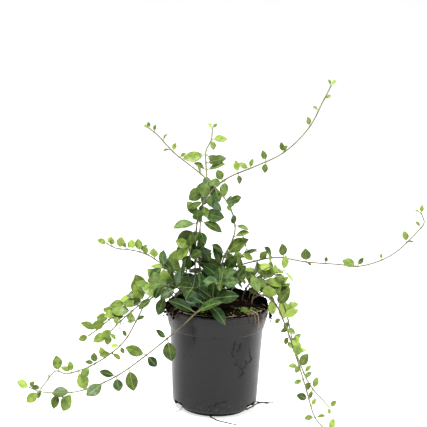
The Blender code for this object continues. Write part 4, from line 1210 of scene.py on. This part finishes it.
def fibres(sizes):
    """Short brown fibres lying on the soil, as wandering ways pressed to the surface, and others that run
    along the rim, as arcs whose radius and height wander.
    """
    draw = np.random.default_rng(23)
    stations = len(FIBRE_TAPER)
    starts = on_soil(draw, sizes.fibres, FIBRE_RING)
    headings = round_axis(1, draw.uniform(0, 2 * np.pi, len(starts)), 0.0)
    lengths = draw.uniform(*FIBRE_LENGTH, len(starts))
    ways = wandering(starts, headings, lengths, draw, stations, sway=0.2)
    ways = moved_to(ways, np.minimum(from_axis(ways), FIBRE_REACH))
    ways[..., 2] = soil_under(ways) + FIBRE_LIFT
    single = (RIM_FIBRES, 1)
    angle = draw.uniform(*RIM_FIBRE_ARC, single)
    angle = angle + draw.uniform(*RIM_FIBRE_TURN, single) * np.linspace(0, 1, stations)
    sway = draw.normal(0, RIM_FIBRE_SWAY, angle.shape).cumsum(axis=1)
    reach = RIM_FIBRE_REACH + sway.clip(*RIM_FIBRE_STRAY)
    height = RIM_HEIGHT + draw.uniform(*RIM_FIBRE_LIFT, single) + draw.normal(0, RIM_FIBRE_WAVER, angle.shape)
    ways = np.concatenate([ways, round_axis(reach, np.radians(angle), height)])
    radii = draw.uniform(*FIBRE_RADIUS, (len(ways), 1)) * FIBRE_TAPER
    tones = draw.uniform(*FIBRE_TONES, (sizes.fibres, 1)), draw.uniform(*RIM_FIBRE_TONES, single)
    return tubes(ways, radii, FIBRE_SIDES, tone=np.concatenate(tones))


def moss_lobes(sizes):
    """Small flat green lobes in patches on the soil and single ones round them."""
    draw = np.random.default_rng(24)
    count = sizes.moss_lobes
    chance = np.array([place[3] for place in MOSS_PLACES])
    centre = np.array(MOSS_PLACES)[draw.choice(len(MOSS_PLACES), count, p=chance / chance.sum())]
    spot = centre[:, :2] + draw.normal(0, 1, (count, 2)) * centre[:, 2:3] * MOSS_STRETCH
    spot = moved_to(spot, np.minimum(from_axis(spot), TOP_REACH))
    places = np.concatenate([spot, soil_under(spot)[:, None] + MOSS_LIFT], axis=1)
    shape = lumps(places, draw.uniform(*LOBE_SIZE, count), draw)
    middle = places[:, None]
    points = middle + (shape["points"].reshape(count, -1, 3) - middle) * LOBE_SHAPE
    shape["points"] = points.reshape(-1, 3)
    return shape


def tapering(draw, radii, count, stations):
    """Each rootlet's radius at its stations: a random one between two, down to a share of it at the tip."""
    low, high, tip = radii
    return draw.uniform(low, high, (count, 1)) * np.linspace(1, tip, stations)


def hanging_rootlets(plans, draw):
    """Rootlets that hang from the stems' joints, down to the ground at most."""
    starts, lengths = [], []
    for name, share, count, length in HANGING_ROOTS:
        place = at_share(smooth_way(plans[name]["way"], FINE_STEP), share)[0]
        for _ in range(count):
            starts.append(place)
            lengths.append(length * draw.uniform(*HANGING_LENGTHS))
    headings = draw.normal(0, HANGING_SPREAD, (len(starts), 3)) - (0, 0, HANGING_DOWN)
    starts, lengths = np.array(starts), np.array(lengths)
    ways = wandering(starts, headings, lengths, draw, HANGING_STATIONS, sway=0.17, weight=0.7)
    ways[..., 2] = np.maximum(ways[..., 2], HANGING_RADII[1])
    return tubes(ways, tapering(draw, HANGING_RADII, len(ways), HANGING_STATIONS), ROOT_SIDES, tone=0.3)


def slot_rootlets(draw):
    """Rootlets that leave the drainage slots. With t from 0 to 1 along one, its height falls to the ground as
    (1 - SLOT_FALL t)^1.5.
    """
    angle, length = np.array(SLOT_ROOTS, float).T
    out = round_axis(1, np.radians(angle), 0.0)
    reach, height = SLOT_START
    headings = out + draw.normal(0, SLOT_ROOT_SPREAD, out.shape) * (1, 1, 0)
    ways = wandering(out * reach + (0, 0, height), headings, length, draw, ROOT_STATIONS, sway=0.2)
    fall = np.maximum(0, 1 - np.linspace(0, SLOT_FALL, ROOT_STATIONS)) ** 1.5
    ways[..., 2] = SLOT_ROOT_LIFT + height * fall
    return tubes(ways, tapering(draw, SLOT_RADII, len(ways), ROOT_STATIONS), ROOT_SIDES)


def rim_rootlets(draw):
    """Rootlets that lie on the soil, cross the rim and hang down the collar. With t from 0 to 1, the distance
    from the axis grows until t is RIM_CROSSING, and from there on the height falls by the length.
    """
    t = np.linspace(0, 1, ROOT_STATIONS)
    angle, length = np.array(RIM_ROOTS, float).T[..., None]
    sway = draw.normal(0, RIM_ROOT_SWAY, (len(angle), ROOT_STATIONS))
    angle = np.radians(angle) + sway.cumsum(axis=1)
    out = np.minimum(t / RIM_CROSSING, 1)
    near, far = RIM_ROOT_REACH
    reach = near + (far - near) * out + draw.uniform(0, RIM_ROOT_STRAY, angle.shape)
    hang = np.maximum(t - RIM_CROSSING, 0) / (1 - RIM_CROSSING)
    height = RIM_ROOT_HEIGHT - RIM_ROOT_SINK * out**2 - length * hang - RIM_ROOT_DROP * (hang > 0)
    tone = draw.uniform(0, 1, (len(angle), 1))
    radii = tapering(draw, RIM_RADII, len(angle), ROOT_STATIONS)
    return tubes(round_axis(reach, angle, height), radii, ROOT_SIDES, tone=tone)


def laid_rootlets(draw):
    """Dark rootlets that leave the pot's foot and lie on the ground, uneven in run and in thickness."""
    ways = np.array([evenly(way) for way in LAID_ROOTS])
    ways[:, 1:] += draw.normal(0, LAID_STRAY, ways[:, 1:].shape) * (1, 1, 0)
    low, high, tip = LAID_RADII
    radii = draw.uniform(low, high, ways.shape[:2]) * np.linspace(1, tip, LINE_STATIONS)
    ways[..., 2] = np.maximum(ways[..., 2], radii + LAID_LIFT)
    return tubes(ways, radii, ROOT_SIDES, tone=-0.6)


def rootlets(plans):
    """All the thin roots as one list of shapes."""
    draw = np.random.default_rng(25)
    return [hanging_rootlets(plans, draw), slot_rootlets(draw), rim_rootlets(draw), laid_rootlets(draw)]


class Nodes:
    """Short calls that make the nodes of one tree. Each takes sockets or values and gives a node's output."""

    def __init__(self, tree, place=None):
        self.tree = tree
        self.place = place

    def put(self, value, socket):
        """Link the value to the socket if it is a socket itself, or set it there."""
        if isinstance(value, bpy.types.NodeSocket):
            self.tree.links.new(value, socket)
        else:
            socket.default_value = value

    def new(self, kind, inputs=(), **settings):
        """The outputs of a new node with its settings and inputs."""
        made = self.tree.nodes.new(f"ShaderNode{kind}")
        for key, value in settings.items():
            setattr(made, key, value)
        for key, value in dict(inputs).items():
            self.put(value, made.inputs[key])
        return made.outputs

    def math(self, operation, *values):
        return self.new("Math", enumerate(values), operation=operation)[0]

    def plus(self, first, second):
        return self.math("ADD", first, second)

    def less(self, first, second):
        return self.math("SUBTRACT", first, second)

    def times(self, first, second):
        return self.math("MULTIPLY", first, second)

    def scaled(self, value, factor, added):
        """The value times the factor, plus what is added."""
        return self.math("MULTIPLY_ADD", value, factor, added)

    def clamped(self, value):
        return self.new("Clamp", {"Value": value})[0]

    def carried(self, value, start, end):
        """The value carried evenly from 0..1 to start..end."""
        return self.new("MapRange", {"Value": value, "To Min": start, "To Max": end})[0]

    def spread(self, value, low, high, start=0.0, end=1.0):
        """The value carried smoothly from low..high to start..end."""
        inputs = {"Value": value, "From Min": low, "From Max": high, "To Min": start, "To Max": end}
        return self.new("MapRange", inputs, interpolation_type="SMOOTHSTEP")[0]

    def blended(self, share, first, second, way="MIX"):
        """Two colours mixed by a share."""
        first, second = (it if isinstance(it, bpy.types.NodeSocket) else (*it, 1) for it in (first, second))
        return self.new("Mix", {0: share, 6: first, 7: second}, data_type="RGBA", blend_type=way)[2]

    def attribute(self, name):
        return self.new("Attribute", attribute_name=name)["Fac"]

    def noise(self, scale, detail=3.0, roughness=0.55):
        inputs = {"Vector": self.place, "Scale": scale, "Detail": detail, "Roughness": roughness}
        return self.new("TexNoise", inputs)["Fac"]

    def mask(self, name, **inputs):
        """The mask of a node group placed here with its own values."""
        inputs = {key.capitalize(): value for key, value in {"place": self.place, **inputs}.items()}
        return self.new("Group", inputs, node_tree=bpy.data.node_groups[name])[0]

    def mottled(self, scale, low, high, **place):
        return self.mask("mottling", scale=scale, low=low, high=high, **place)


class Finish(Nodes):
    """A material in the making, with constants for its shader. Its place is the object's own coordinates."""

    def __init__(self, name, **constants):
        self.material = bpy.data.materials.new(name)
        self.material.use_nodes = True
        super().__init__(self.material.node_tree)
        self.shader = self.tree.nodes["Principled BSDF"].inputs
        for key, value in constants.items():
            self.shader[key.replace("_", " ")].default_value = value
        self.place = self.new("TexCoord")["Object"]

    def done(self, colour, roughness, relief, distance):
        """The material with its colour, roughness and a relief that stands out by a distance in metres."""
        self.put(colour, self.shader["Base Color"])
        self.put(roughness, self.shader["Roughness"])
        self.put(self.new("Bump", {"Height": relief, "Distance": distance})[0], self.shader["Normal"])
        return self.material


def new_group(name, inputs):
    """A node group that puts out a mask: the calls for its nodes, its inputs, and the mask's socket."""
    tree = bpy.data.node_groups.new(name, "ShaderNodeTree")
    tree.interface.new_socket("Place", in_out="INPUT", socket_type="NodeSocketVector")
    for key in inputs:
        tree.interface.new_socket(key, in_out="INPUT", socket_type="NodeSocketFloat")
    tree.interface.new_socket("Mask", in_out="OUTPUT", socket_type="NodeSocketFloat")
    given = tree.nodes.new("NodeGroupInput").outputs
    return Nodes(tree, given["Place"]), given, tree.nodes.new("NodeGroupOutput").inputs["Mask"]


def make_groups():
    """Mottling: soft blotches. Dust: fine specks gathered in patches. Both put out a mask."""
    nodes, given, mask = new_group("mottling", ["Scale", "Low", "High"])
    nodes.put(nodes.spread(nodes.noise(given["Scale"], 4.0, 0.6), given["Low"], given["High"]), mask)
    nodes, given, mask = new_group("dust", ["Amount"])
    patches = nodes.spread(nodes.noise(45.0, 3.0, 0.6), 0.4, 0.75)
    specks = nodes.spread(nodes.noise(900.0, 2.0, 0.5), 0.5, 0.72)
    fine = nodes.spread(nodes.noise(2600.0, 1.0, 0.5), 0.45, 0.8)
    both = nodes.plus(nodes.times(patches, specks), nodes.times(fine, 0.25))
    nodes.put(nodes.clamped(nodes.times(both, given["Amount"])), mask)


def leaf_material(colours):
    """A leaf's skin, yellow-green to dark by its age, with a pale midrib, side veins, a pale underside and a
    painted sheen.
    """
    skin = Finish("leaf_skin", Specular_IOR_Level=0.14, Coat_Roughness=0.16, Coat_Weight=0.1)
    right, along, _ = skin.new("SeparateXYZ", {0: skin.new("UVMap", uv_map="surface")[0]})
    across = skin.math("ABSOLUTE", skin.scaled(right, 2.0, -1.0))
    age, tone, under, margin = (skin.attribute(name) for name in ("age", "tone", "under", "margin"))
    blotch = skin.mottled(190.0, 0.35, 0.65)
    aged = skin.clamped(skin.plus(age, skin.scaled(blotch, 0.34, -0.17)))
    youth = skin.math("POWER", skin.less(1.0, aged), 1.5)
    colour = skin.blended(youth, colours.old_leaf, colours.young_leaf)
    # Painted sheen: older leaves are tinted pale blue-grey, more on one half of the blade, for the light
    # reflected off them
    painted_sheen_share = skin.times(skin.spread(tone, 0.4, 1.0), skin.math("POWER", age, 3.0))
    sheen_half = skin.spread(right, 0.47, 0.53, 0.35, 0.65)
    colour = skin.blended(skin.times(painted_sheen_share, sheen_half), colour, colours.leaf_painted_sheen)
    shade = skin.carried(tone, 0.42, 1.45)
    grey = skin.new("CombineColor", {0: shade, 1: shade, 2: shade})[0]
    colour = skin.blended(1.0, colour, grey, "MULTIPLY")
    edge = skin.times(skin.spread(margin, 0.93, 1.0), 0.4)
    colour = skin.blended(edge, colour, colours.leaf_rib)
    rib_width = skin.carried(along, 0.1, 0.03)
    rib = skin.spread(skin.math("DIVIDE", across, rib_width), 0.5, 1.2, 1.0, 0.0)
    slant = skin.less(skin.times(along, VEIN_PAIRS), skin.times(across, VEIN_SLANT))
    wave = skin.math("ABSOLUTE", skin.less(skin.math("FRACT", slant), 0.5))
    vein = skin.times(skin.spread(wave, 0.0, 0.09, 1.0, 0.0), skin.spread(across, 0.75, 1.0, 0.3, 0.0))
    shown = skin.times(vein, skin.scaled(age, -0.55, 0.9))
    ribs = skin.math("MAXIMUM", skin.times(rib, 0.45), shown)
    colour = skin.blended(ribs, colour, colours.leaf_rib)
    colour = skin.blended(skin.times(under, 0.55), colour, colours.leaf_underside)
    gloss = skin.plus(skin.scaled(blotch, 0.14, 0.3), skin.times(under, 0.25))
    relief = skin.less(skin.times(skin.noise(1500.0, 2.0), 0.25), ribs)
    return skin.done(colour, gloss, relief, 0.00012)


def stem_material(colours):
    """Green towards the tip, brown and ribbed at the foot."""
    bark = Finish("stem_bark", Specular_IOR_Level=0.4)
    along = bark.attribute("along")
    blotch = bark.mottled(90.0, 0.35, 0.7)
    share = bark.clamped(bark.scaled(blotch, 0.45, bark.scaled(along, 0.75, -0.15)))
    colour = bark.blended(share, colours.stem_brown, colours.stem_green)
    colour = bark.blended(bark.times(bark.attribute("tone"), 0.75), colour, STEM_GREY)
    red = bark.mottled(260.0, 0.55, 0.8)
    colour = bark.blended(bark.times(red, 0.4), colour, STEM_RED)
    return bark.done(colour, bark.scaled(blotch, 0.2, 0.4), bark.noise(1800.0), 0.0002)


def plastic_material(colours):
    """Dark moulded plastic with a fine grain, scuffs, and soil dust under the rim and at the foot."""
    plastic = Finish("pot_plastic", Specular_IOR_Level=0.3)
    along_x, _, height = plastic.new("SeparateXYZ", {0: plastic.place})
    right_side = plastic.spread(along_x, 0.0, 0.045, 0.35, 1.5)
    near_rim = plastic.times(plastic.spread(height, 0.085, 0.122, 0.1, 0.65), right_side)
    near_foot = plastic.spread(height, 0.0, 0.03, 0.5, 0.0)
    dust = plastic.mask("dust", amount=plastic.plus(near_rim, near_foot))
    blotch = plastic.mottled(30.0, 0.35, 0.7)
    stretched = plastic.new("Mapping", {"Vector": plastic.place, "Scale": (1.0, 1.0, 0.12)})[0]
    streak = plastic.mottled(420.0, 0.66, 0.8, place=stretched)
    dark = [value * 0.75 for value in colours.plastic]
    colour = plastic.blended(blotch, dark, colours.plastic)
    colour = plastic.blended(plastic.times(streak, 0.12), colour, SCUFF_GREY)
    colour = plastic.blended(dust, colour, colours.dust)
    speck = plastic.mottled(480.0, 0.58, 0.68)
    low_down = plastic.spread(height, 0.0, 0.03, 0.45, 0.0)
    # Darker towards the bottom, in blotches: strongest over the foot ring, fading out by 20 mm up the wall
    foot_darkening = plastic.times(plastic.spread(height, 0.006, 0.02, 0.75, 0.0), blotch)
    colour = plastic.blended(foot_darkening, colour, FOOT_DARK)
    colour = plastic.blended(plastic.times(speck, low_down), colour, LIME_GREY)
    gloss = plastic.plus(plastic.scaled(blotch, 0.08, 0.26), plastic.times(dust, 0.4))
    relief = plastic.plus(plastic.noise(2600.0, 2.0), plastic.times(dust, 1.5))
    return plastic.done(colour, gloss, relief, 0.00005)


def soil_material(colours):
    """Near-black peat with lighter crumbs and reddish fibre."""
    peat = Finish("peat", Specular_IOR_Level=0.0)
    fine = peat.mottled(520.0, 0.35, 0.75)
    coarse = peat.mottled(110.0, 0.35, 0.7)
    light = [min(1, value * 2.0) for value in colours.soil]
    colour = peat.blended(fine, colours.soil, light)
    colour = peat.blended(peat.times(coarse, 0.35), colour, PEAT_BROWN)
    colour = peat.blended(peat.times(peat.mottled(1400.0, 0.68, 0.74), 0.25), colour, PEAT_FIBRE)
    relief = peat.plus(peat.noise(420.0, 6.0, 0.7), peat.times(coarse, 0.8))
    return peat.done(colour, peat.scaled(fine, 0.15, 0.8), relief, 0.002)


def mud_material(colours):
    """Thin dried mud, a little lighter here and there."""
    mud = Finish("dried_mud", Specular_IOR_Level=0.05)
    blotch = mud.mottled(300.0, 0.3, 0.7)
    light = [value * 1.8 for value in colours.mud]
    colour = mud.blended(blotch, colours.mud, light)
    return mud.done(colour, mud.scaled(blotch, 0.2, 0.7), mud.noise(1500.0), 0.0002)


def fibre_material(colours):
    """Thin dead roots and fibres, tan to brown from one to the next."""
    root = Finish("dry_root", Specular_IOR_Level=0.25)
    tone = root.attribute("tone")
    blotch = root.mottled(200.0, 0.3, 0.75)
    share = root.scaled(tone, 0.6, root.times(blotch, 0.4))
    dark = [value * 0.2 for value in colours.root]
    colour = root.blended(share, dark, colours.root)
    colour = root.blended(root.spread(tone, 0.72, 0.95), colour, colours.pale_root)
    return root.done(colour, root.scaled(blotch, 0.2, 0.65), root.noise(2500.0), 0.0001)


def moss_material(colours):
    """Damp green lobes of moss and liverwort, browner here and there."""
    moss = Finish("moss", Specular_IOR_Level=0.35)
    blotch = moss.mottled(340.0, 0.3, 0.7)
    share = moss.scaled(moss.attribute("tone"), 0.5, moss.times(blotch, 0.5))
    dark = [value * 0.3 for value in colours.moss]
    colour = moss.blended(share, dark, colours.moss)
    return moss.done(colour, moss.scaled(blotch, 0.3, 0.45), moss.noise(1300.0, 4.0), 0.0006)


def floor_material(colours):
    """A matt white sheet with the faintest unevenness, which glows for the camera and less in reflections."""
    sheet = Finish("white_sheet", Specular_IOR_Level=0.1, Roughness=0.9)
    shade = [value * 0.97 for value in colours.floor]
    colour = sheet.blended(sheet.mottled(3.0, 0.2, 0.8), shade, colours.floor)
    path = sheet.new("LightPath")
    seen = sheet.scaled(path["Is Glossy Ray"], GLOSSY_GLOW, path["Is Camera Ray"])
    sheet.put(colour, sheet.shader["Base Color"])
    sheet.put(colour, sheet.shader["Emission Color"])
    sheet.put(sheet.times(seen, FLOOR_GLOW), sheet.shader["Emission Strength"])
    return sheet.material


def colour_setting(name, about, default):
    return bpy.props.FloatVectorProperty(
        name=name, description=about, default=default, size=3, min=0.0, max=1.0, subtype="COLOR"
    )


def count_setting(name, about, default):
    return bpy.props.IntProperty(name=name, description=about, default=default, min=3, max=4000)


class PlantSizes(bpy.types.PropertyGroup):
    pot_sides: count_setting("Pot sides", "Steps round the pot", 144)
    soil_rings: count_setting("Soil rings", "Rings on the soil's top", 60)
    soil_sides: count_setting("Soil sides", "Steps round the soil", 200)
    soil_roughness: bpy.props.FloatProperty(
        name="Soil roughness", description="Height of the soil's crumbs in millimetres", default=2.2, min=0,
        max=10
    )
    crumbs: count_setting("Crumbs", "Loose crumbs on the soil", 700)
    fibres: count_setting("Fibres", "Short fibres on the soil", 110)
    moss_lobes: count_setting("Moss lobes", "Lobes of moss and liverwort", 150)
    floor_reach: bpy.props.FloatProperty(
        name="Floor", description="Half the floor's width", default=20.0, min=0.5, max=40.0, unit="LENGTH"
    )


class PlantColours(bpy.types.PropertyGroup):
    young_leaf: colour_setting("Young leaf", "Leaves at the tips", (0.295, 0.41, 0.07))
    old_leaf: colour_setting("Old leaf", "Leaves at the foot of a stem", (0.010, 0.042, 0.004))
    # Leaf bloom is a painted grey sheen that stands for the light reflected off the old leaves
    leaf_painted_sheen: colour_setting("Leaf bloom", "Waxy grey on some of the old leaves", (0.12, 0.20, 0.135))
    leaf_rib: colour_setting("Leaf rib", "Midrib and margin", (0.30, 0.42, 0.16))
    leaf_underside: colour_setting("Leaf underside", "Paler lower side", (0.16, 0.27, 0.07))
    stem_green: colour_setting("Stem, green", "Stems towards the tip", (0.31, 0.34, 0.13))
    stem_brown: colour_setting("Stem, brown", "Stems near the soil", (0.075, 0.045, 0.022))
    plastic: colour_setting("Plastic", "The pot", (0.0064, 0.0065, 0.0078))
    dust: colour_setting("Dust", "Soil dust on the pot", (0.13, 0.10, 0.075))
    soil: colour_setting("Soil", "Potting soil", (0.0045, 0.0038, 0.003))
    root: colour_setting("Root", "Thin roots", (0.20, 0.115, 0.065))
    pale_root: colour_setting("Pale root", "The palest of the roots at the rim", (0.40, 0.33, 0.25))
    mud: colour_setting("Mud", "Trickles of dried mud", (0.018, 0.017, 0.017))
    moss: colour_setting("Moss", "Moss on the soil", (0.135, 0.225, 0.015))
    floor: colour_setting("Floor", "The white sheet", (0.86, 0.86, 0.86))


def settings(context):
    return context.scene.periwinkle_sizes, context.scene.periwinkle_colours


class PERIWINKLE_OT_pot(bpy.types.Operator):
    """Build the pot"""

    bl_idname = "periwinkle.pot"
    bl_label = "Pot"

    def execute(self, context):
        sizes, colours = settings(context)
        body = turned_shape(softened(POT_INSIDE + POT_OUTSIDE), sizes.pot_sides)
        pot = add_piece("moulded_pot", [body], [plastic_material(colours)], ["pot"])
        blocks = bpy.data.objects.new("drain_blocks", mesh_of(slot_blocks(), "drain_blocks"))
        context.scene.collection.objects.link(blocks)
        cut = pot.modifiers.new("Slots", "BOOLEAN")
        cut.operation = "DIFFERENCE"
        cut.object = blocks
        graph = context.evaluated_depsgraph_get()
        pot.data = bpy.data.meshes.new_from_object(pot.evaluated_get(graph))
        pot.modifiers.clear()
        bpy.data.objects.remove(blocks)
        pot.data.set_sharp_from_angle(angle=SHARP_FROM)
        return {"FINISHED"}


class PERIWINKLE_OT_soil(bpy.types.Operator):
    """Build the soil with its crumbs and fibres"""

    bl_idname = "periwinkle.soil"
    bl_label = "Soil"

    def execute(self, context):
        sizes, colours = settings(context)
        peat = soil_material(colours)
        add_piece("potting_soil", [soil_surface(sizes)], [peat], ["soil"])
        add_piece("soil_crumbs", [crumbs(sizes)], [peat])
        add_piece("mud_trickles", mud_trickles(), [mud_material(colours)])
        add_piece("soil_fibres", [fibres(sizes)], [fibre_material(colours)])
        add_piece("moss_patch", [moss_lobes(sizes)], [moss_material(colours)])
        return {"FINISHED"}


class PERIWINKLE_OT_leafy_stems(bpy.types.Operator):
    """Build every leafy stem, and the rootlets that hang from their joints"""

    bl_idname = "periwinkle.leafy_stems"
    bl_label = "Leafy stems"

    def execute(self, context):
        _, colours = settings(context)
        materials = [stem_material(colours), leaf_material(colours)]
        plans = plan_stems()
        placed = place_leaves(plans)
        for number, (name, plan) in enumerate(plans.items()):
            leafy_stem(number, name, plan, placed[name], materials)
        add_piece("rootlets", rootlets(plans), [bpy.data.materials["dry_root"]])
        return {"FINISHED"}


class PERIWINKLE_OT_stage(bpy.types.Operator):
    """Set the floor, the soft lights and the camera"""

    bl_idname = "periwinkle.stage"
    bl_label = "Stage"

    def execute(self, context):
        sizes, colours = settings(context)
        reach = sizes.floor_reach
        edges = [(-reach, -reach, 0), (reach, -reach, 0), (reach, reach, 0), (-reach, reach, 0)]
        mesh = bpy.data.meshes.new("floor")
        mesh.from_pydata(edges, [], [(0, 1, 2, 3)])
        mesh.materials.append(floor_material(colours))
        floor = bpy.data.objects.new("floor", mesh)
        context.scene.collection.objects.link(floor)
        world = bpy.data.worlds.new("studio")
        world.use_nodes = True
        background = world.node_tree.nodes["Background"].inputs
        background["Color"].default_value = (1, 1, 1, 1)
        sky = Nodes(world.node_tree)
        seen = sky.new("LightPath")["Is Camera Ray"]
        sky.put(sky.scaled(seen, BACKDROP - SKY, SKY), background["Strength"])
        context.scene.world = world
        for name, place, size, power in LIGHTS:
            light = bpy.data.lights.new(name, "AREA")
            light.shape = "RECTANGLE"
            light.size, light.size_y = size
            light.energy = power
            lamp = bpy.data.objects.new(name, light)
            lamp.matrix_world = Matrix.Translation(place) @ direction_to_turn(np.array(LIGHTS_AIM) - place)
            context.scene.collection.objects.link(lamp)
        data = bpy.data.cameras.new("camera")
        data.sensor_width = SENSOR
        data.lens = LENS
        camera = bpy.data.objects.new("camera", data)
        camera.matrix_world = camera_place()
        context.scene.collection.objects.link(camera)
        context.scene.camera = camera
        context.scene.view_settings.view_transform = "Standard"
        return {"FINISHED"}


def direction_to_turn(aim):
    """The turn that points an object's -Z along the aim, with its X level."""
    back = unit(-aim)
    right = unit(np.cross((0, 0, 1), back))
    up = np.cross(back, right)
    return Matrix([(*row, 0) for row in np.stack([right, up, back], axis=1)] + [(0, 0, 0, 1)])


def camera_place():
    """The camera's matrix: it looks down by PITCH and is turned about its own axis by ROLL."""
    right = np.array((1.0, 0.0, 0.0))
    up = np.array((0.0, math.sin(PITCH), math.cos(PITCH)))
    back = np.array((0.0, -math.cos(PITCH), math.sin(PITCH)))
    turned_right = right * math.cos(ROLL) + up * math.sin(ROLL)
    turned_up = up * math.cos(ROLL) - right * math.sin(ROLL)
    columns = np.stack([turned_right, turned_up, back, CAMERA], axis=1)
    return Matrix([*columns.tolist(), (0, 0, 0, 1)])


class PERIWINKLE_PT_panel(bpy.types.Panel):
    """Sizes, colours and pieces of the potted periwinkle"""

    bl_label = "Potted periwinkle"
    bl_space_type = "VIEW_3D"
    bl_region_type = "UI"
    bl_category = "Periwinkle"

    def draw(self, context):
        for group in settings(context):
            box = self.layout.box()
            for key in group.__annotations__:
                box.prop(group, key)
        for piece in STEPS:
            self.layout.operator(piece.bl_idname)


STEPS = (PERIWINKLE_OT_pot, PERIWINKLE_OT_soil, PERIWINKLE_OT_leafy_stems, PERIWINKLE_OT_stage)
CLASSES = (PlantSizes, PlantColours, *STEPS, PERIWINKLE_PT_panel)


def register():
    for made in CLASSES:
        bpy.utils.register_class(made)
    bpy.types.Scene.periwinkle_sizes = bpy.props.PointerProperty(type=PlantSizes)
    bpy.types.Scene.periwinkle_colours = bpy.props.PointerProperty(type=PlantColours)


def unregister():
    del bpy.types.Scene.periwinkle_sizes
    del bpy.types.Scene.periwinkle_colours
    for made in reversed(CLASSES):
        bpy.utils.unregister_class(made)


def main():
    register()
    make_groups()
    bpy.ops.periwinkle.pot()
    bpy.ops.periwinkle.soil()
    bpy.ops.periwinkle.leafy_stems()
    bpy.ops.periwinkle.stage()
    bpy.context.view_layer.update()


if __name__ == "__main__":
    main()
